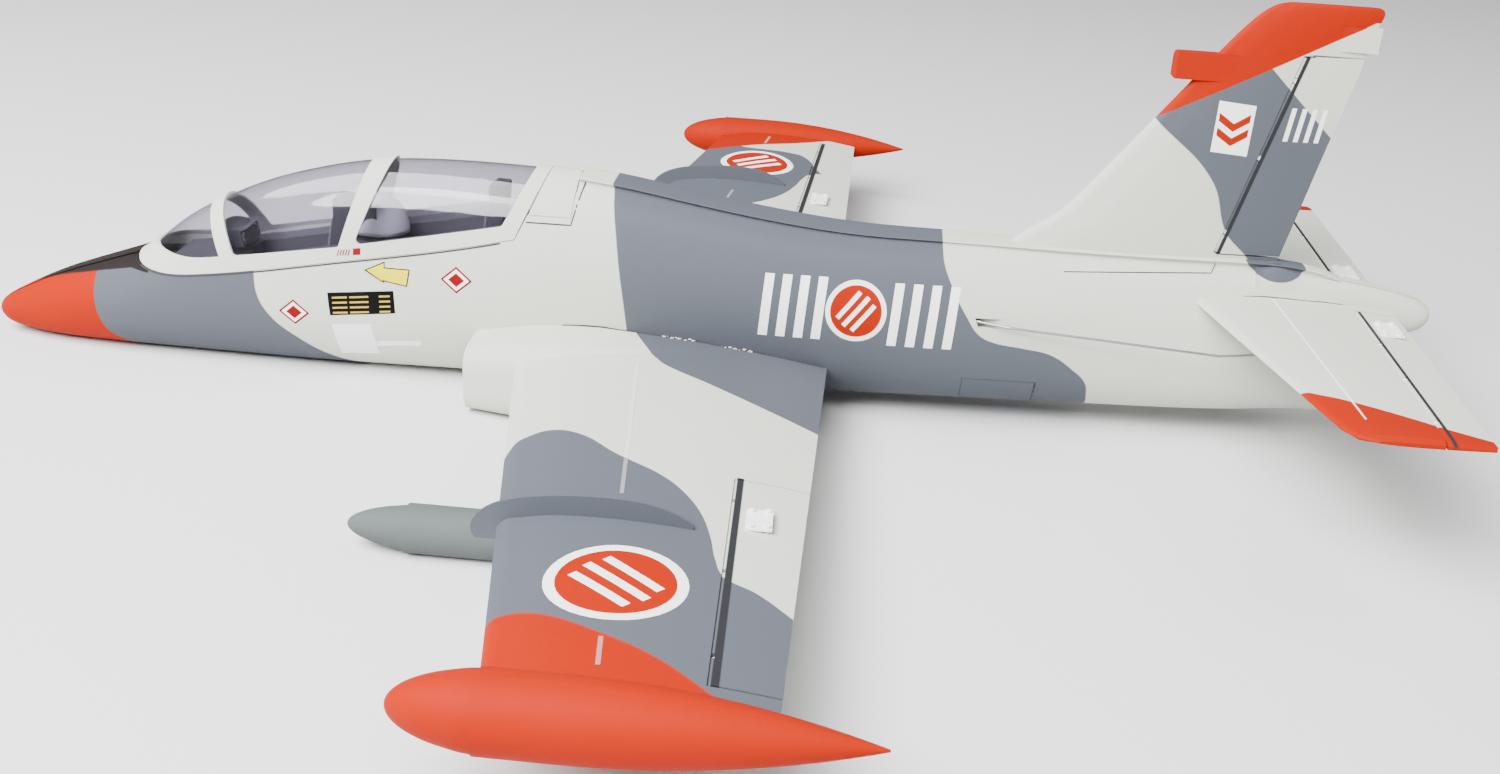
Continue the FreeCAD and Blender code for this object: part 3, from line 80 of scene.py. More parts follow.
DATUM = (FAN_LOW.z + FAN_HIGH.z) / 2 - FAN_ABOVE_NOSE  # height of the nose tip
MM = 0.001
OFF_SIDE = 90                                 # distance from the centre plane that clears the fuselage, mm
ABOVE = 95                                    # height that clears the wing and the tailplane, mm
RAY_LENGTH = 0.2                              # how far a point off the skin may be from it, m
STRIP_STEP = 0.004                            # distance between the rows of a strip, m
STRIP_GAP = 0.012                             # rows further apart than this are not joined, m
SHARP_EDGE = math.radians(32)                 # edges of the CAD meshes that stay sharp


def at(x, y, z):
    """A point given in millimetres from the nose tip: x left, y aft, z up."""
    return Vector((x * MM, NOSE + y * MM, DATUM + z * MM))


# ------------------------------------------------------------------ camera, lights, floor
def add_camera():
    """The photo's camera. Its lens, place and direction were fitted to points of the photo."""
    data = bpy.data.cameras.new("camera")
    data.sensor_width = 36.0
    data.lens = 36.48
    data.shift_x = -0.0113
    data.clip_start = 0.01
    data.clip_end = 50
    camera = bpy.data.objects.new("camera", data)
    bpy.context.scene.collection.objects.link(camera)
    forward = Vector((-0.9078, -0.0576, -0.4155)).normalized()
    right = Vector((-0.0869, 0.9949, 0.0519))
    right = (right - forward * right.dot(forward)).normalized()
    up = right.cross(forward)
    turn = Matrix((right, up, -forward)).transposed().to_4x4()
    camera.matrix_world = Matrix.Translation(at(1037.2, 657.7, 457.8)) @ turn
    bpy.context.scene.camera = camera


def add_light(name, place, target, size, power):
    """An oval area light, pointed from its place to the target."""
    data = bpy.data.lights.new(name, "AREA")
    data.shape = "ELLIPSE"
    data.size, data.size_y = size
    data.energy = power
    lamp = bpy.data.objects.new(name, data)
    bpy.context.scene.collection.objects.link(lamp)
    lamp.location = place
    lamp.rotation_euler = (Vector(target) - Vector(place)).to_track_quat("-Z", "Y").to_euler()


def add_stage():
    """The floor, the sky and the lights, which are not part of the plane."""
    bm = bmesh.new()
    bmesh.ops.create_grid(bm, x_segments=1, y_segments=1, size=12)
    mesh = bpy.data.meshes.new("floor")
    bm.to_mesh(mesh)
    bm.free()
    floor = bpy.data.objects.new("floor", mesh)
    floor.location = (0, 0, LOW.z)
    bpy.context.scene.collection.objects.link(floor)
    material = bpy.data.materials.new("floor")
    material.use_nodes = True
    shader = material.node_tree.nodes["Principled BSDF"]
    shader.inputs["Base Color"].default_value = (0.66, 0.66, 0.66, 1)
    shader.inputs["Roughness"].default_value = 0.9
    shader.inputs["Specular IOR Level"].default_value = 0.1
    floor.data.materials.append(material)
    world = bpy.data.worlds.new("studio")
    world.use_nodes = True
    world.node_tree.nodes["Background"].inputs["Color"].default_value = (0.96, 0.97, 1.0, 1)
    world.node_tree.nodes["Background"].inputs["Strength"].default_value = 0.42
    bpy.context.scene.world = world
    add_light("key", (1.9, -1.1, 1.8), (0, -0.1, 0.12), (1.6, 1.1), 130)
    add_light("top", (1.0, -0.95, 2.2), (0, -0.2, 0.12), (3.6, 1.4), 215)
    add_light("fill", (-0.6, 1.6, 2.2), (0, 0.2, 0.1), (1.2, 1.2), 18)


# ------------------------------------------------------------------ material helpers
class Tree:
    """A material's node tree with short calls for the nodes used here."""

    def __init__(self, name):
        self.material = bpy.data.materials.new(name)
        self.material.use_nodes = True
        self.nodes = self.material.node_tree.nodes
        self.links = self.material.node_tree.links
        self.shader = self.nodes["Principled BSDF"]
        coords = self.nodes.new("ShaderNodeTexCoord")
        self.place = coords.outputs["Object"]
        split = self.nodes.new("ShaderNodeSeparateXYZ")
        self.links.new(self.place, split.inputs[0])
        self.x, row_y, row_z = split.outputs
        self.y = self.math("SUBTRACT", row_y, NOSE)
        self.z = self.math("SUBTRACT", row_z, DATUM)
        self.beside = self.math("ABSOLUTE", self.x)

    def put(self, socket, value):
        if isinstance(value, bpy.types.NodeSocket):
            self.links.new(value, socket)
        else:
            socket.default_value = value

    def math(self, operation, a, b=0.0, c=0.0, clamp=False):
        node = self.nodes.new("ShaderNodeMath")
        node.operation = operation
        node.use_clamp = clamp
        for socket, value in zip(node.inputs, (a, b, c)):
            self.put(socket, value)
        return node.outputs[0]

    def curve(self, source, points):
        """The smooth function through points given in millimetres, applied to a length in metres."""
        points = sorted(points)
        xs = [p[0] for p in points]
        ys = [p[1] for p in points]
        low_x, span_x = xs[0], xs[-1] - xs[0]
        low_y, span_y = min(ys), max(max(ys) - min(ys), 1e-3)
        share = self.math("MULTIPLY_ADD", source, 1 / (span_x * MM), -low_x / span_x, clamp=True)
        node = self.nodes.new("ShaderNodeFloatCurve")
        curve = node.mapping.curves[0]
        while len(curve.points) < len(points):
            curve.points.new(0.5, 0.5)
        for spot, (a, b) in zip(curve.points, points):
            spot.location = ((a - low_x) / span_x, (b - low_y) / span_y)
            spot.handle_type = "AUTO_CLAMPED"
        node.mapping.update()
        self.put(node.inputs["Value"], share)
        return self.math("MULTIPLY_ADD", node.outputs[0], span_y * MM, low_y * MM)

    def above(self, value, edge, soft=0.0007):
        """1 where value is past the edge, 0 before it, with a short soft step."""
        offset = self.math("SUBTRACT", value, edge)
        return self.math("MULTIPLY_ADD", offset, 1 / soft, 0.5, clamp=True)

    def hinge_gap_shade(self, color, source, line, behind, inner, outer):
        """The colour with a band of painted shade, standing for the shadow down in a hinge gap, behind a line
        over part of the source's length.
        """
        start = self.curve(source, line)
        band = self.both(self.above(self.y, self.math("SUBTRACT", start, 0.0006)),
                         self.invert(self.above(self.y, self.math("ADD", start, behind * MM))))
        reach = self.both(self.above(source, inner * MM), self.invert(self.above(source, outer * MM)))
        return self.mix(self.both(band, reach), color, HINGE_GAP_SHADE)

    def both(self, a, b):
        return self.math("MULTIPLY", a, b)

    def either(self, a, b):
        return self.math("MAXIMUM", a, b)

    def invert(self, a):
        return self.math("SUBTRACT", 1.0, a)

    def noise(self, scale, detail=2.0, roughness=0.5):
        node = self.nodes.new("ShaderNodeTexNoise")
        self.put(node.inputs["Vector"], self.place)
        node.inputs["Scale"].default_value = scale
        node.inputs["Detail"].default_value = detail
        node.inputs["Roughness"].default_value = roughness
        return node.outputs["Fac"]

    def mix(self, factor, a, b):
        node = self.nodes.new("ShaderNodeMix")
        node.data_type = "RGBA"
        self.put(node.inputs[0], factor)
        self.put(node.inputs[6], a)
        self.put(node.inputs[7], b)
        return node.outputs[2]

    def varied(self, color, amount=0.04, scale=9.0):
        """The colour with a slow, slight change of brightness over the surface."""
        node = self.nodes.new("ShaderNodeHueSaturation")
        shade = self.math("MULTIPLY_ADD", self.noise(scale, 4.0), 2 * amount, 1 - amount)
        self.put(node.inputs["Value"], shade)
        self.put(node.inputs["Color"], color)
        return node.outputs[0]

    def bump(self, height, strength, distance=0.0004):
        node = self.nodes.new("ShaderNodeBump")
        node.inputs["Strength"].default_value = strength
        node.inputs["Distance"].default_value = distance
        self.put(node.inputs["Height"], height)
        self.put(self.shader.inputs["Normal"], node.outputs[0])

    def foam_skin(self, strength=0.16, cell=420.0):
        """Faint beads of moulded foam under paint, with a slow ripple."""
        node = self.nodes.new("ShaderNodeTexVoronoi")
        node.feature = "SMOOTH_F1"
        node.inputs["Scale"].default_value = cell
        self.put(node.inputs["Vector"], self.place)
        height = self.math("ADD", node.outputs["Distance"], self.math("MULTIPLY", self.noise(60, 3.0), 1.4))
        self.bump(height, strength)

    def rough(self, low, high, scale=40.0):
        value = self.math("MULTIPLY_ADD", self.noise(scale, 3.0), high - low, low)
        self.put(self.shader.inputs["Roughness"], value)


def srgb(r, g, b):
    """A colour given as it looks on a screen, 0 to 255, in linear light."""
    def linear(c):
        c = c / 255
        return c / 12.92 if c <= 0.04045 else ((c + 0.055) / 1.055) ** 2.4
    return (linear(r), linear(g), linear(b), 1.0)


LIGHT = srgb(191, 194, 183)
GREY = srgb(78, 82, 89)
DARK_GREY = srgb(84, 90, 90)
ORANGE = (0.31, 0.011, 0.0, 1.0)
BLACK = srgb(34, 29, 29)
WHITE = srgb(244, 244, 242)
RED = (0.2, 0.002, 0.005, 1.0)
YELLOW = (0.7, 0.6, 0.0, 1.0)
INK = srgb(12, 12, 13)
# painted shade: the colour of the shadow down in the hinge gaps
HINGE_GAP_SHADE = srgb(40, 41, 43)

# ------------------------------------------------------------------ paint scheme
# Edges of the paint, each as (across, value) in millimetres from the nose tip.
NOSE_ORANGE = [(-22, 121), (-11, 107), (-2, 98), (10, 93), (27, 90), (43, 89)]
GLARE_EDGE = [(0, 8), (12, 13), (46, 28), (84, 39), (118, 47)]
FRONT_GREY = [(-20, 296), (-4, 266), (10, 247), (25, 230), (41, 221), (60, 219)]
MID_GREY_FRONT = [(-20, 498), (36, 493), (89, 485), (124, 479), (150, 472)]
MID_GREY_BACK = [(-10, 825), (11, 823), (23, 820), (34, 809), (44, 793), (48, 772), (51, 752), (56, 741),
                 (69, 731), (87, 720), (105, 712), (130, 710)]
WING_ROOT_GREY = [(490, 30), (520, 85), (527, 94), (561, 117), (603, 143), (637, 163)]
WING_GREY = [(445, 250), (452, 236), (459, 221), (475, 212), (491, 216), (521, 242), (552, 264), (566, 280),
             (578, 301), (587, 328), (592, 350), (599, 367), (617, 377), (637, 394)]
RIGHT_WING_LIGHT = [(500, 470), (530, 424), (585, 418), (607, 377), (630, 331), (640, 286)]
SILL = [(124, 52.5), (135, 49.8), (150, 48.8), (176, 51.5), (219, 59), (279, 71), (342, 83), (409, 97.6),
        (412, 98.2)]
WING_ORANGE = [(480, 430), (490, 426), (504, 422), (520, 425), (544, 435), (571, 448), (602, 471), (612, 480)]
STAB_ORANGE = [(915, 163), (926, 169), (991, 204), (1003, 210), (1027, 219)]
FIN_GREY_FRONT = [(102, 934), (106, 931), (116, 922), (132, 906), (167, 891), (208, 846)]
FIN_ORANGE_LINE = [(820, 195), (978, 281)]
FIN_GREY_BACK = [(880, 282), (917, 247), (962, 205), (1000, 170)]
FIN_GREY_FOOT = [(920, 117), (931, 106), (946, 102), (960, 106), (967, 115)]
FOOT_FRONT, FOOT_BACK = 921, 966  # stations between which the fin's grey runs down onto the fuselage
GLARE_BACK = 135                  # station where the black in front of the canopy ends


def paint_finish(tree, color):
    tree.put(tree.shader.inputs["Base Color"], tree.varied(color))
    tree.rough(0.5, 0.66)
    tree.shader.inputs["Specular IOR Level"].default_value = 0.06
    tree.foam_skin()
    return tree.material


def fuselage_paint():
    tree = Tree("fuselage_paint")
    color = LIGHT
    front = tree.invert(tree.above(tree.y, tree.curve(tree.z, FRONT_GREY)))
    middle = tree.both(tree.above(tree.y, tree.curve(tree.z, MID_GREY_FRONT)),
                       tree.invert(tree.above(tree.y, tree.curve(tree.z, MID_GREY_BACK))))
    foot = tree.both(tree.above(tree.z, tree.curve(tree.y, FIN_GREY_FOOT)),
                     tree.both(tree.above(tree.y, FOOT_FRONT * MM),
                               tree.invert(tree.above(tree.y, FOOT_BACK * MM))))
    grey = tree.either(tree.either(front, middle), foot)
    color = tree.mix(grey, color, GREY)
    orange = tree.invert(tree.above(tree.y, tree.curve(tree.z, NOSE_ORANGE)))
    color = tree.mix(orange, color, ORANGE)
    glare = tree.both(tree.above(tree.z, tree.curve(tree.y, GLARE_EDGE)),
                      tree.invert(tree.above(tree.y, GLARE_BACK * MM)))
    color = tree.mix(glare, color, BLACK)
    return paint_finish(tree, color)


def wing_paint(name="wing_paint", haze=0.0):
    """The grey and orange of the wing's upper side, whitened by haze for the tape laid on it."""
    tree = Tree(name)
    root = tree.both(tree.invert(tree.above(tree.beside, tree.curve(tree.y, WING_ROOT_GREY))),
                     tree.above(tree.y, tree.curve(tree.z, MID_GREY_FRONT)))
    patch = tree.above(tree.beside, tree.curve(tree.y, WING_GREY))
    normal = tree.nodes.new("ShaderNodeNewGeometry").outputs["Normal"]
    split = tree.nodes.new("ShaderNodeSeparateXYZ")
    tree.links.new(normal, split.inputs[0])
    upper = tree.above(split.outputs[2], -0.25, 0.02)
    corner = tree.both(tree.above(tree.beside, tree.curve(tree.y, RIGHT_WING_LIGHT)),
                       tree.invert(tree.above(tree.x, 0.0)))
    patch = tree.both(patch, tree.invert(corner))
    grey = tree.both(tree.either(root, patch), upper)
    color = tree.mix(grey, LIGHT, GREY)
    orange = tree.above(tree.beside, tree.curve(tree.y, WING_ORANGE), 0.003)
    color = tree.mix(orange, color, ORANGE)
    color = tree.mix(haze, color, WHITE)
    # The aileron's hinge gap gets a band of painted shade.
    return paint_finish(tree, tree.hinge_gap_shade(color, tree.beside, [(249, 594), (468, 604)], 3.6, 249, 467))


def tail_paint():
    tree = Tree("tail_paint")
    orange = tree.above(tree.beside, tree.curve(tree.y, STAB_ORANGE))
    color = tree.mix(orange, LIGHT, ORANGE)
    # The elevator's hinge gap gets a band of painted shade.
    return paint_finish(tree, tree.hinge_gap_shade(color, tree.beside, [(24, 1000), (231, 1001)], 1.9, 24, 231))


def fin_paint():
    tree = Tree("fin_paint")
    grey = tree.both(tree.above(tree.y, tree.curve(tree.z, FIN_GREY_FRONT)),
                     tree.invert(tree.above(tree.z, tree.curve(tree.y, FIN_GREY_BACK))))
    color = tree.mix(grey, LIGHT, GREY)
    orange = tree.above(tree.z, tree.curve(tree.y, FIN_ORANGE_LINE))
    color = tree.mix(orange, color, ORANGE)
    # The rudder's hinge gap gets a band of painted shade.
    return paint_finish(tree, tree.hinge_gap_shade(color, tree.z, [(115, 902), (257, 938)], 2.2, 116, 257))


def plain_paint(name, color):
    tree = Tree(name)
    return paint_finish(tree, color)


def plastic(name, color, low=0.25, high=0.4, amount=0.06):
    tree = Tree(name)
    tree.put(tree.shader.inputs["Base Color"], tree.varied(color, amount, 60))
    tree.rough(low, high, 120)
    tree.bump(tree.noise(900, 4.0), 0.08, 0.0002)
    return tree.material


def metal(name, color, low=0.25, high=0.4):
    tree = Tree(name)
    tree.put(tree.shader.inputs["Base Color"], tree.varied(color, 0.05, 80))
    tree.shader.inputs["Metallic"].default_value = 1.0
    tree.rough(low, high, 200)
    tree.bump(tree.noise(1500, 3.0), 0.06, 0.0001)
    return tree.material


def clear_canopy():
    tree = Tree("clear_canopy")
    tree.put(tree.shader.inputs["Base Color"], tree.varied(srgb(212, 209, 219), 0.02, 6))
    tree.shader.inputs["Transmission Weight"].default_value = 1.0
    tree.shader.inputs["IOR"].default_value = 1.4
    tree.shader.inputs["Roughness"].default_value = 0.05
    tree.bump(tree.noise(14, 2.0), 0.04, 0.0006)
    ray = tree.nodes.new("ShaderNodeLightPath")
    air = tree.nodes.new("ShaderNodeBsdfTransparent")
    air.inputs["Color"].default_value = (0.8, 0.79, 0.83, 1)
    choice = tree.nodes.new("ShaderNodeMixShader")
    tree.links.new(ray.outputs["Is Shadow Ray"], choice.inputs[0])
    tree.links.new(tree.shader.outputs[0], choice.inputs[1])
    tree.links.new(air.outputs[0], choice.inputs[2])
    tree.links.new(choice.outputs[0], tree.nodes["Material Output"].inputs["Surface"])
    return tree.material


def assign(material, *names):
    for name in names:
        node = NODES[name]
        node.data.materials.clear()
        node.data.materials.append(material)


def both(*names):
    return [side + name for side in ("left_", "right_") for name in names]


def paint_everything():
    assign(fuselage_paint(), "fuselage_left_shell", "fuselage_right_shell", "belly_hatch")
    assign(wing_paint(), *both("wing", "aileron"))
    assign(tail_paint(), *both("stabilizer", "elevator"))
    assign(fin_paint(), "fin", "rudder")
    assign(plain_paint("orange_paint", ORANGE), *both("tip_tank"))
    assign(plain_paint("grey_paint", GREY), *both("wing_fence"))
    assign(plain_paint("tank_grey_paint", DARK_GREY), *both("drop_tank"))
    assign(plain_paint("light_paint", LIGHT), "canopy_frame", "canopy_block")
    assign(clear_canopy(), "canopy_glazing")
    assign(plastic("cockpit_plastic", srgb(56, 56, 61), 0.5, 0.7), "cockpit_tub", "front_panel", "rear_panel")
    assign(plastic("seat_plastic", srgb(44, 44, 50), 0.5, 0.7), "front_seat", "rear_seat")
    assign(plastic("nylon", WHITE, 0.25, 0.35), "rudder_horn", "rudder_servo_arm", "hinge_brackets",
           *both("aileron_horn", "elevator_horn", "aileron_servo_arm", "elevator_servo_arm"))
    assign(metal("steel", srgb(150, 150, 153)), "hinge_rods", "rudder_pushrod",
           *both("aileron_pushrod", "elevator_pushrod"))
    assign(plastic("servo_plastic", srgb(40, 52, 92)), "rudder_servo",
           *both("aileron_servo", "elevator_servo"))
    assign(plastic("fan_plastic", srgb(36, 36, 38)), "fan_housing", "fan_rotor", "speed_controller",
           "receiver")
    assign(metal("motor_metal", srgb(160, 162, 168)), "fan_motor")
    assign(plastic("duct_plastic", srgb(150, 152, 155)), "exhaust_duct")
    assign(plastic("carbon", srgb(32, 32, 34)), *both("wing_spar"))
    assign(plastic("battery_wrap", srgb(40, 70, 150)), "battery")
    assign(plastic("webbing", srgb(28, 28, 28), 0.8, 0.95), "battery_strap")
    assign(plastic("plywood", srgb(196, 164, 116), 0.6, 0.8, 0.12), "equipment_tray")


# ------------------------------------------------------------------ stickers and thin trim on the skin
class Skin:
    """The surface of some CAD nodes, for laying thin pieces on it."""

    def __init__(self, *names):
        verts, faces = [], []
        for name in names:
            mesh = NODES[name].data
            start = len(verts)
            verts.extend(v.co.copy() for v in mesh.vertices)
            faces.extend([start + i for i in p.vertices] for p in mesh.polygons)
        self.tree = BVHTree.FromPolygons(verts, faces)

    def drop(self, point, direction, lift):
        """Where a line from the point meets the skin, raised a little off it."""
        place, normal, _, _ = self.tree.ray_cast(point, direction, RAY_LENGTH)
        if place is None:
            return None
        if normal.dot(direction) > 0:
            normal = -normal
        return place + normal * lift


def flat_grid(outline, step):
    """A fine flat mesh that fills a convex outline."""
    bm = bmesh.new()
    xs = [p[0] for p in outline]
    ys = [p[1] for p in outline]
    wide, tall = max(xs) - min(xs), max(ys) - min(ys)
    centre = Vector(((max(xs) + min(xs)) / 2, (max(ys) + min(ys)) / 2, 0))
    bmesh.ops.create_grid(bm, x_segments=max(2, int(wide / step)), y_segments=max(2, int(tall / step)),
                          size=0.5)
    bmesh.ops.transform(bm, verts=bm.verts,
                        matrix=Matrix.Translation(centre) @ Matrix.Diagonal((wide, tall, 1, 1)))
    middle = sum((Vector((x, y, 0)) for x, y in outline), Vector()) / len(outline)
    for a, b in zip(outline, outline[1:] + outline[:1]):
        start = Vector((a[0], a[1], 0))
        edge = Vector((b[0] - a[0], b[1] - a[1], 0))
        out = Vector((edge.y, -edge.x, 0))
        if out.dot(start - middle) < 0:
            out = -out
        bmesh.ops.bisect_plane(bm, geom=bm.verts[:] + bm.edges[:] + bm.faces[:], plane_co=start, plane_no=out,
                               clear_outer=True)
    return bm


def new_piece(name, bm, material, body):
    """A smooth mesh object with the given material, riding a body."""
    bmesh.ops.recalc_face_normals(bm, faces=bm.faces)
    mesh = bpy.data.meshes.new(name)
    bm.to_mesh(mesh)
    bm.free()
    for face in mesh.polygons:
        face.use_smooth = True
    mesh.materials.append(material)
    obj = bpy.data.objects.new(name, mesh)
    bpy.context.scene.collection.objects.link(obj)
    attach(obj, body)
    return obj


def sticker(name, outlines, spread, direction, skin, material, body, lift=0.15,
            step=2.0):
    """Thin sheets in the shape of convex outlines, in millimetres, laid on the skin.

    spread turns an outline's two distances into a point off the skin, from which direction leads to it.
    """
    whole = bmesh.new()
    for outline in outlines:
        piece = flat_grid(outline, step)
        lost = []
        for vert in piece.verts:
            place = skin.drop(spread(vert.co.x, vert.co.y), direction, lift * MM)
            if place is None:
                lost.append(vert)
            else:
                vert.co = place
        bmesh.ops.delete(piece, geom=lost, context="VERTS")
        mesh = bpy.data.meshes.new("part")
        piece.to_mesh(mesh)
        piece.free()
        whole.from_mesh(mesh)
        bpy.data.meshes.remove(mesh)
    return new_piece(name, whole, material, body)


def disc(cx, cy, radius, sides=40):
    return [(cx + radius * math.cos(2 * math.pi * i / sides), cy + radius * math.sin(2 * math.pi * i / sides))
            for i in range(sides)]


def slashes(cx, cy, radius, width, turn=0.9):
    """Three parallel bars across a disc, with ends that keep inside it."""
    bars = []
    ahead, aside = (math.cos(turn), math.sin(turn)), (-math.sin(turn), math.cos(turn))
    for offset in (-2.1 * width, 0, 2.1 * width):
        reach = math.sqrt(radius ** 2 - offset ** 2) * 0.86
        bars.append([(cx + ahead[0] * u + aside[0] * w, cy + ahead[1] * u + aside[1] * w)
                     for u, w in ((-reach, offset - width / 2), (reach, offset - width / 2),
                                  (reach, offset + width / 2), (-reach, offset + width / 2))])
    return bars


def slanted_bar(y, low, high, width, lean=3.0):
    return [(y, low), (y + width, low), (y + width + lean, high), (y + lean, high)]


def emblem(prefix, cx, cy, radius, spread, direction, skin, body):
    """A plain round emblem: an orange disc with a white rim and three white slashes."""
    def lay(part, shapes, material, lift):
        sticker(prefix + part, shapes, spread, direction, skin, FILM[material], body, lift=lift,
                step=radius / 14)
    lay("_rim", [disc(cx, cy, radius)], "white", 0.14)
    lay("_disc", [disc(cx, cy, radius * 0.84)], "orange", 0.24)
    lay("_slashes", slashes(cx, cy, radius * 0.72, radius * 0.15), "white", 0.34)


def film(name, color):
    tree = Tree(name)
    tree.put(tree.shader.inputs["Base Color"], tree.varied(color, 0.03, 30))
    tree.rough(0.45, 0.58, 60)
    tree.shader.inputs["Specular IOR Level"].default_value = 0.05
    tree.bump(tree.noise(300, 3.0), 0.05, 0.0002)
    return tree.material


FILM = {name: film("film_" + name, color) for name, color in
        (("white", WHITE), ("red", RED), ("ink", INK), ("yellow", YELLOW), ("orange", ORANGE),
         ("paper", srgb(226, 228, 228)), ("gold", (0.45, 0.32, 0.04, 1)))}


def side_spread(sign):
    """Outlines given as (station, height), held off the left (1) or right (-1) side."""
    def spread(y, z):
        return at(sign * OFF_SIDE, y, z)
    return spread, Vector((-sign, 0, 0))


def add_fuselage_markings():
    for sign, side in ((1, "left"), (-1, "right")):
        skin = Skin("fuselage_%s_shell" % side)
        spread, inward = side_spread(sign)

        def lay(part, shapes, material, lift=0.15, step=2.0):
            sticker(side + part, shapes, spread, inward, skin, FILM[material], "airframe", lift=lift,
                    step=step)
        bars = [slanted_bar(y, 45, 89, 6.5) for y in (586, 598.5, 611, 623.5)]
        bars += [slanted_bar(y, 44, 88, 6.5) for y in (677, 690, 703, 716)]
        lay("_side_bars", bars, "white")
        emblem(side + "_emblem", 654, 67, 21.5, spread, inward, skin, "airframe")
        for number, (y, z) in enumerate(((248, 31), (369.5, 66.5)), start=1):
            for part, reach, material, lift in (("edge", 11.5, "red", 0.13), ("field", 9.4, "white", 0.2),
                                                ("mark", 6.0, "red", 0.27)):
                shape = [(y + reach, z), (y, z + reach * 0.86), (y - reach, z), (y, z - reach * 0.86)]
                lay("_patch_%s_%d" % (part, number), [shape], material, lift, 1.2)
        arrow = [[(302, 68), (317.5, 75.5), (316.5, 59.5)],
                 [(316, 71.2), (335.8, 71.2), (333.5, 58.2), (314.5, 61.2)]]
        lay("_arrow_edge", arrow, "ink", 0.13)
        arrow = [[(304, 68), (316.8, 74.2), (315.8, 60.9)],
                 [(315.8, 70.4), (334.8, 70.4), (332.8, 59.1), (315.2, 62)]]
        lay("_arrow", arrow, "yellow", 0.2)
        placard = [(274, 48.5), (323.3, 54.4), (324, 37.2), (275, 31)]
        lay("_placard", [placard], "ink", 0.14)
        dashes = []
        for row in range(4):
            for start, length in ((3, 11), (16, 14), (38, 8)):
                y = 274.5 + start
                z = 45.0 - row * 3.9 + (start + 2) * 0.12
                dashes.append([(y, z), (y + length, z + length * 0.12), (y + length, z + length * 0.12 - 1.3),
                               (y, z - 1.3)])
        lay("_placard_dashes", dashes, "gold", 0.22, 3.0)
        lay("_label", [[(275.5, 24), (305, 27), (308, 0.5), (278.5, -2.5)]], "paper", 0.14)
        lay("_label_strip", [[(307.3, 12.6), (340.8, 16.4), (340.7, 12.0), (307.2, 8.2)]], "paper", 0.14)


def add_sill_marks():
    for sign, side in ((1, "left"), (-1, "right")):
        skin = Skin("canopy_frame")
        spread, inward = side_spread(sign)
        strokes = [[(y, 76.3 + (y - 282) * 0.12), (y + 0.9, 76.3 + (y - 281) * 0.12),
                    (y + 2.1, 80.6 + (y - 280) * 0.12), (y + 1.2, 80.6 + (y - 281) * 0.12)]
                   for y in (282, 284, 286, 288, 290)]
        strokes.append([(294, 77.8), (299.6, 78.6), (299.6, 83.4), (294, 82.6)])
        sticker(side + "_sill_mark", strokes, spread, inward, skin, FILM["red"], "canopy_hatch", lift=0.14,
                step=1.2)


def add_fin_markings():
    for sign, side in ((1, "left"), (-1, "right")):
        spread, inward = side_spread(sign)
        fin, rudder = Skin("fin"), Skin("rudder")
        plate = [(885.5, 224), (910.5, 222), (910, 187), (885, 189)]
        sticker(side + "_fin_plate", [plate], spread, inward, fin, FILM["white"], "airframe")
        chevron = [[(887, 206), (897.5, 199), (897.5, 193.5), (887, 200.5)],
                   [(897.5, 199), (908, 206), (908, 200.5), (897.5, 193.5)],
                   [(887, 216), (897.5, 209), (897.5, 203.5), (887, 210.5)],
                   [(897.5, 209), (908, 216), (908, 210.5), (897.5, 203.5)]]
        sticker(side + "_fin_chevron", chevron, spread, inward, fin, FILM["orange"], "airframe", lift=0.25)
        bars = [slanted_bar(y, 199, 222, 3.2, 2.5) for y in (932, 939, 946, 953)]
        sticker(side + "_rudder_bars", bars, spread, inward, rudder, FILM["white"], "rudder", step=1.5)


def add_wing_markings():
    for sign, side in ((1, "left"), (-1, "right")):
        skin = Skin(side + "_wing")

        def spread(x, y):
            return at(sign * x, y, 90)
        across, radius = (388, 37) if sign > 0 else (378, 35)
        emblem(side + "_wing_emblem", across, 546, radius, spread, DOWN, skin, "airframe")


def strip(name, path, width, skin, direction, material, body="airframe", lift=0.12):
    """A narrow band laid on the skin along a path of places held off it."""
    bm = bmesh.new()
    spots = []
    for a, b in zip(path, path[1:]):
        steps = max(1, int((b - a).length / STRIP_STEP))
        spots += [a.lerp(b, i / steps) for i in range(steps)]
    spots.append(path[-1])
    rows = []
    for i, spot in enumerate(spots):
        along = spots[min(i + 1, len(spots) - 1)] - spots[max(i - 1, 0)]
        across = along.cross(direction).normalized() * width / 2 * MM
        row = [skin.drop(spot + across * side, direction, lift * MM) for side in (-1, 0, 1)]
        if None not in row:
            rows.append([bm.verts.new(p) for p in row])
    for low, high in zip(rows, rows[1:]):
        if (low[1].co - high[1].co).length < STRIP_GAP:
            for i in range(2):
                bm.faces.new((low[i], low[i + 1], high[i + 1], high[i]))
    return new_piece(name, bm, material, body)


def tube(name, path, radius, material, body, resolution=3):
    """A round line through places, as a curve with a bevel."""
    curve = bpy.data.curves.new(name, "CURVE")
    curve.dimensions = "3D"
    curve.bevel_depth = radius * MM
    curve.bevel_resolution = resolution
    curve.use_fill_caps = True
    spline = curve.splines.new("BEZIER")
    spline.bezier_points.add(len(path) - 1)
    for spot, place in zip(spline.bezier_points, path):
        spot.co = place
        spot.handle_left_type = spot.handle_right_type = "AUTO"
    curve.materials.append(material)
    obj = bpy.data.objects.new(name, curve)
    bpy.context.scene.collection.objects.link(obj)
    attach(obj, body)
    return obj


def border(skin, direction, inside, outside):
    """Where the skin, met from inside but not from outside, ends between the two."""
    for _ in range(12):
        middle = (inside + outside) / 2
        if skin.drop(middle, direction, 0.0) is None:
            outside = middle
        else:
            inside = middle
    return inside


def crease(skin, direction, centre, across, reach=0.012, count=25):
    """The deepest place of a hollow corner, seen along the direction."""
    best, deepest = None, -1.0
    for i in range(count):
        start = centre + across * (reach * (2 * i / (count - 1) - 1))
        place = skin.drop(start, direction, 0.0)
        if place is not None and (place - start).dot(direction) > deepest:
            best, deepest = start, (place - start).dot(direction)
    return best


DOWN = Vector((0, 0, -1))
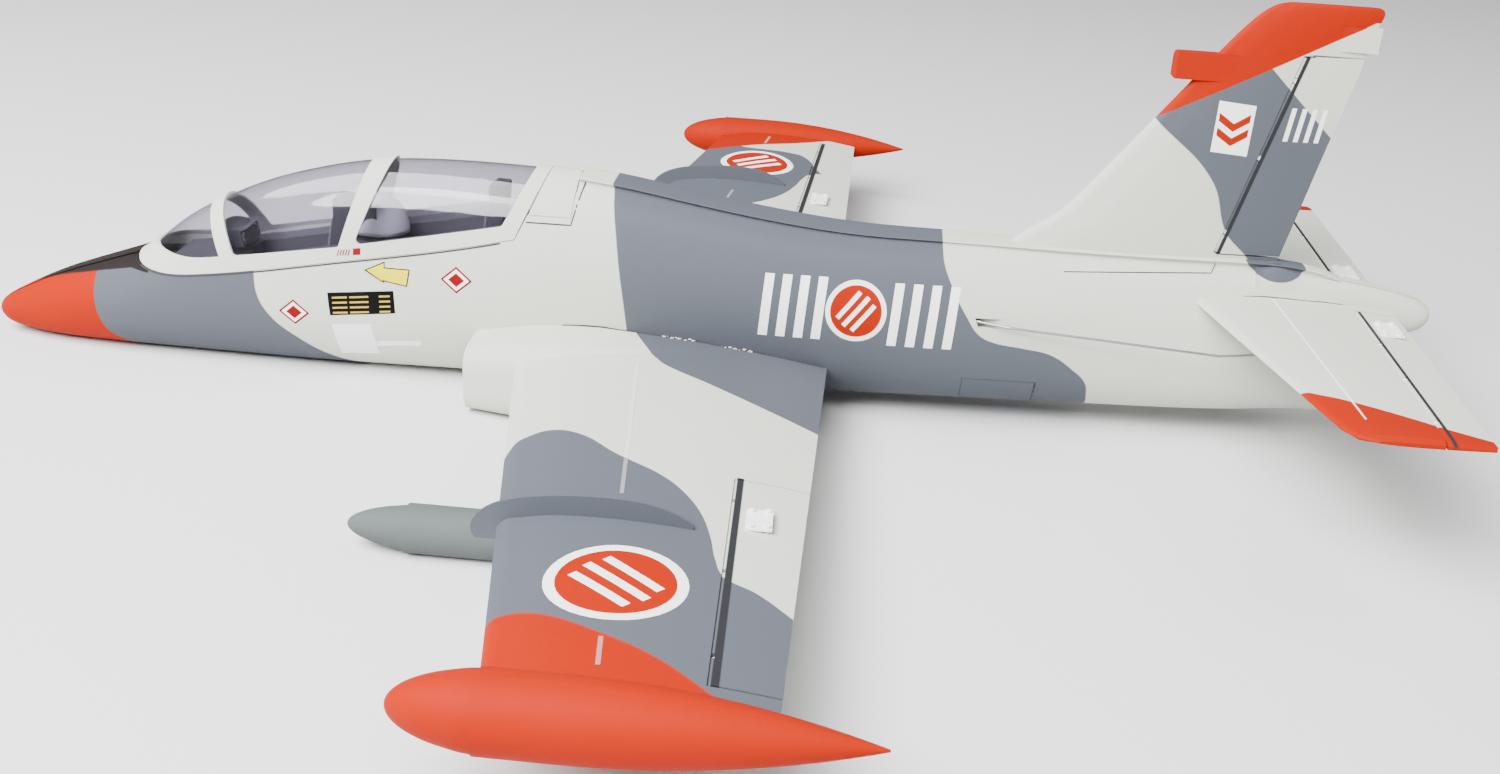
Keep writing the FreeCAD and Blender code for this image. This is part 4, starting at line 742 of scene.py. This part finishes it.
# About where the wing meets the fuselage, as (station, height).
WING_ROOT = [(446, 38), (452, 40), (463, 42), (476, 42), (488, 42), (515, 39), (542, 36), (565, 33),
             (586, 30), (612, 25), (634, 21)]
METAL = metal("bare_metal", srgb(150, 150, 153))
# Dark film of painted shade, laid in the gaps and hollow corners along seams where shadow falls.
SEAM_GAP_SHADE = film("seam", srgb(58, 59, 61))
GLUE = plastic("set_glue", srgb(178, 178, 174), 0.15, 0.3, 0.1)
FOAM_TAPE = wing_paint("tape", 0.18)


def span(count, low, high):
    return [low + (high - low) * i / (count - 1) for i in range(count)]


# Strips of painted shade in the gap round the canopy hatch's sill and its rear block.
def add_canopy_gap_shade():
    for sign, side in ((1, "left"), (-1, "right")):
        shell, frame = Skin("fuselage_%s_shell" % side), Skin("canopy_frame")
        spread, inward = side_spread(sign)
        sill = []
        for (y0, z0), (y1, z1) in zip(SILL, SILL[1:]):
            for share in (0, 0.25, 0.5, 0.75):
                y, z = y0 + (y1 - y0) * share, z0 + (z1 - z0) * share
                spot = border(frame, inward, spread(y, z + 5), spread(y, z - 5))
                sill.append(spot - Vector((0, 0, 1.25 * MM)))
        strip(side + "_sill_gap_shade", sill, 1.2, shell, inward, SEAM_GAP_SHADE)
        block = [spread(459.3, 149), spread(450, 110.6), spread(414, 110.4)]
        strip(side + "_block_gap_shade", block, 1.0, shell, inward, SEAM_GAP_SHADE)


def glue_squeeze(name, skin, slope, seam):
    """Small set drops of glue along two stretches of the wing root."""
    bm = bmesh.new()
    for number, y in enumerate(span(12, 519, 541) + span(11, 562, 583)):
        station = y * MM + NOSE + 1.2 * MM * math.sin(number * 5.1)
        for a, b in zip(seam, seam[1:]):
            if a.y <= station < b.y:
                spot = a.lerp(b, (station - a.y) / (b.y - a.y))
                spot = spot + Vector((0, 0, 0.8 * MM * math.sin(number * 3.7)))
                size = (0.7 + 0.35 * math.sin(number * 2.4)) * MM
                place = Matrix.Translation(skin.drop(spot, slope, 0.0))
                shape = place @ Matrix.Diagonal((size, 1.6 * size, 0.7 * size, 1))
                bmesh.ops.create_uvsphere(bm, u_segments=10, v_segments=8, radius=1, matrix=shape)
    return new_piece(name, bm, GLUE, "airframe")


# Strips of painted shade in the gaps and hollow corners at the fin foot, belly hatch, wing root and tailplane
# root, with the real wing tape, tail ridge and glue.
def add_seam_shade_and_trim():
    for sign, side in ((1, "left"), (-1, "right")):
        shell = Skin("fuselage_%s_shell" % side)
        wing = Skin(side + "_wing")
        spread, inward = side_spread(sign)

        def top(spots):
            return [at(sign * x, y, ABOVE) for x, y in spots]

        # painted shade along the fin foot and in the belly hatch's gap
        fin_foot = [spread(796, 100.5), spread(840, 102), spread(899, 104.3), spread(902, 110)]
        strip(side + "_fin_gap_shade", fin_foot, 0.6, shell, inward, SEAM_GAP_SHADE)
        hatch = [spread(732.6, 2), spread(732.6, 21.2), spread(785.2, 21.2), spread(785.2, 2)]
        strip(side + "_hatch_gap_shade", hatch, 1.0, shell, inward, SEAM_GAP_SHADE)
        strip(side + "_wing_tape", top([(97, 509), (292, 532)]), 2.4, wing, DOWN, FOAM_TAPE, lift=0.2)
        strip(side + "_wing_tape_outer", top([(440, 548), (464, 551)]), 2.4, wing, DOWN, FOAM_TAPE, lift=0.2)
        stab = Skin(side + "_stabilizer")
        ridge = top([(x, 941.5 + (x - 15) * 0.0777) for x in span(24, 15, 208)])
        ridge = [stab.drop(place, DOWN, 0.0) for place in ridge]
        tube(side + "_tail_ridge", [place for place in ridge if place], 0.55, FILM["paper"], "airframe")
        # painted shade in the hollow corners where the wing and the tailplane meet the fuselage
        join = Skin("fuselage_%s_shell" % side, side + "_wing")
        slope = Vector((-sign, 0, -1)).normalized()
        across = Vector((sign, 0, -1)).normalized()
        seam = [crease(join, slope, at(sign * 50, y, z) - slope * 0.06, across) for y, z in WING_ROOT]
        strip(side + "_root_gap_shade", seam, 1.2, join, slope, SEAM_GAP_SHADE)
        glue_squeeze(side + "_root_glue", join, slope, seam)
        tail_join = Skin("fuselage_%s_shell" % side, side + "_stabilizer")
        seam = [crease(tail_join, slope, at(sign * 14, y, 91) - slope * 0.05, across, 0.008)
                for y in span(10, 922, 992)]
        strip(side + "_tail_gap_shade", seam, 0.7, tail_join, slope, SEAM_GAP_SHADE)


# ------------------------------------------------------------------ cockpit trim
def cloth(name, color):
    """A dull woven fabric."""
    tree = Tree(name)
    weave = tree.nodes.new("ShaderNodeTexWave")
    weave.inputs["Scale"].default_value = 260
    weave.inputs["Distortion"].default_value = 1.5
    tree.put(weave.inputs["Vector"], tree.place)
    tree.put(tree.shader.inputs["Base Color"], tree.varied(color, 0.12, 50))
    tree.rough(0.8, 0.95, 80)
    tree.shader.inputs["Sheen Weight"].default_value = 0.3
    tree.bump(weave.outputs["Fac"], 0.35, 0.0002)
    return tree.material


def pillow(name, centre, side, length, wide, long, thick, material):
    """A crowned pad with pulled-in sides and two sewn channels; side and length are its directions."""
    out = side.cross(length)
    bm = bmesh.new()
    count = 18
    rows = {}
    for layer in (0, 1):
        for i in range(count + 1):
            for j in range(count + 1):
                a, b = 2 * i / count - 1, 2 * j / count - 1
                if layer == 0 and max(abs(a), abs(b)) == 1:
                    continue
                u = a * (1 - 0.06 * (1 - b * b)) * wide / 2
                w = b * (1 - 0.06 * (1 - a * a)) * long / 2
                rise = ((1 - abs(a) ** 3.5) * (1 - abs(b) ** 3.5)) ** 0.45
                sewn = sum(math.exp(-((b - spot) / 0.07) ** 2) for spot in (-0.33, 0.33))
                height = thick * (0.12 + 0.88 * rise * (1 - 0.3 * sewn)) if layer else 0.0
                rows[layer, i, j] = bm.verts.new(centre + (side * u + length * w + out * height) * MM)
    for layer in (0, 1):
        for i in range(count):
            for j in range(count):
                corners = [(i, j), (i + 1, j), (i + 1, j + 1), (i, j + 1)]
                face = [rows.get((layer, *c)) or rows[1, c[0], c[1]] for c in corners]
                bm.faces.new(face if layer else face[::-1])
    return new_piece(name, bm, material, "canopy_hatch")


def hood(name, y, z, wide, long, tall, material):
    """A rounded glare shield over an instrument panel."""
    bm = bmesh.new()
    rings, sides = 12, 28
    rows = []
    for i in range(rings):
        turn = math.pi / 2 * i / rings
        rows.append([bm.verts.new(at(wide * math.cos(turn) ** 0.8 * math.cos(2 * math.pi * j / sides),
                                     y + long * math.cos(turn) ** 0.8 * math.sin(2 * math.pi * j / sides),
                                     z + tall * math.sin(turn))) for j in range(sides)])
    top = bm.verts.new(at(0, y, z + tall))
    for low, high in zip(rows, rows[1:]):
        for j in range(sides):
            bm.faces.new((low[j], low[(j + 1) % sides], high[(j + 1) % sides], high[j]))
    for j in range(sides):
        bm.faces.new((rows[-1][j], rows[-1][(j + 1) % sides], top))
    bm.faces.new(rows[0][::-1])
    return new_piece(name, bm, material, "canopy_hatch")


def add_seat_trim(name, back, floor, head, fabric, leather, webbing):
    """Cushions, belts and control stick of a seat, from its back's station and its floor and head heights."""
    side, ahead, up = Vector((1, 0, 0)), Vector((0, 1, 0)), Vector((0, 0, 1))
    pillow(name + "_seat_cushion", at(0, back - 15, floor + 12), side, ahead, 18, 17, 3.2, fabric)
    lean = Vector((0, 8, head - 24 - floor)).normalized()
    low, high = Vector((0, back - 6, floor + 15)), Vector((0, back + 1.2, head - 15))
    middle = (low + high) / 2
    pillow(name + "_back_cushion", at(*middle), side, lean, 17, (high - low).length, 3.0, fabric)
    pillow(name + "_head_pad", at(0, back + 2.4, head - 6.5), side, up, 16, 12, 3.0, leather)
    for x, hand in ((-5, "right"), (5, "left")):
        belt = [at(x * 0.8, back + 1.5, head - 13.5), at(x, back - 2.2, (head + floor) / 2 + 6),
                at(x * 0.9, back - 6.4, floor + 30), at(x * 0.5, back - 11, floor + 17)]
        tube("%s_belt_%s" % (name, hand), belt, 0.7, webbing, "canopy_hatch")
    stick = [at(0, back - 33, floor + 0.5), at(0, back - 32, floor + 8), at(0, back - 30.5, floor + 14)]
    tube(name + "_stick", stick, 0.8, METAL, "canopy_hatch")
    grip = [at(0, back - 30.8, floor + 13), at(0, back - 30.2, floor + 16), at(0, back - 30.6, floor + 19)]
    tube(name + "_grip", grip, 1.5, FILM["ink"], "canopy_hatch")


def add_dials(name, y, z, radius=3.0):
    """A row of four dials on the aft face of an instrument panel."""
    skin = Skin(name + "_panel")

    def spread(across, height):
        return at(across, y + 14, height)

    for number, x in enumerate((-10.5, -3.6, 3.6, 10.5), start=1):
        hand = [(x - 0.25, z), (x + 0.25, z), (x + 1.2, z + 1.8), (x + 0.9, z + 1.9)]
        for part, shape, material, lift in (("rim", disc(x, z, radius, 24), "paper", 0.1),
                                            ("face", disc(x, z, radius * 0.84, 24), "ink", 0.16),
                                            ("hand", hand, "white", 0.22)):
            sticker("%s_dial_%s_%d" % (name, part, number), [shape], spread, Vector((0, -1, 0)), skin,
                    FILM[material], "canopy_hatch", lift, 0.8)


def add_cockpit():
    fabric = cloth("seat_cloth", srgb(74, 78, 70))
    leather = cloth("head_pad_cloth", srgb(120, 60, 40))
    webbing = cloth("harness_webbing", srgb(150, 140, 105))
    add_seat_trim("front", 268.0, 35.4, 108.0, fabric, leather, webbing)
    add_seat_trim("rear", 384.0, 51.4, 127.0, fabric, leather, webbing)
    hood("front_hood", 192, 67, 17, 15, 17.5, plastic("dark_hood", srgb(48, 48, 50), 0.6, 0.8))
    hood("rear_hood", 301, 84, 18, 22, 27, plastic("pale_hood", srgb(150, 152, 158), 0.6, 0.8))
    add_dials("front", 203.0, 74.0)
    add_dials("rear", 305.0, 96.0)


# ------------------------------------------------------------------ wires in the equipment bay
def add_wires():
    for x, color, name in ((-6, "red", "plus"), (6, "ink", "minus")):
        path = [at(x, 309, 20), at(x * 1.2, 318, 19), at(x, 326, 8), at(x * 0.8, 334.5, 2)]
        tube("battery_lead_" + name, path, 1.3, FILM[color], "airframe")
    for number, color in enumerate(("ink", "red", "paper")):
        x = 1.6 * (number - 1)
        path = [at(x, 411.5, 6), at(x, 407, 9), at(x, 400, 8), at(x, 395.6, 4)]
        tube("receiver_lead_" + color, path, 0.6, FILM[color], "airframe")


for node in NODES.values():
    for face in node.data.polygons:
        face.use_smooth = True
    node.data.set_sharp_from_angle(angle=SHARP_EDGE)

add_camera()
add_stage()
paint_everything()
add_fuselage_markings()
add_sill_marks()
add_fin_markings()
add_wing_markings()
add_seam_shade_and_trim()
add_canopy_gap_shade()
add_cockpit()
add_wires()
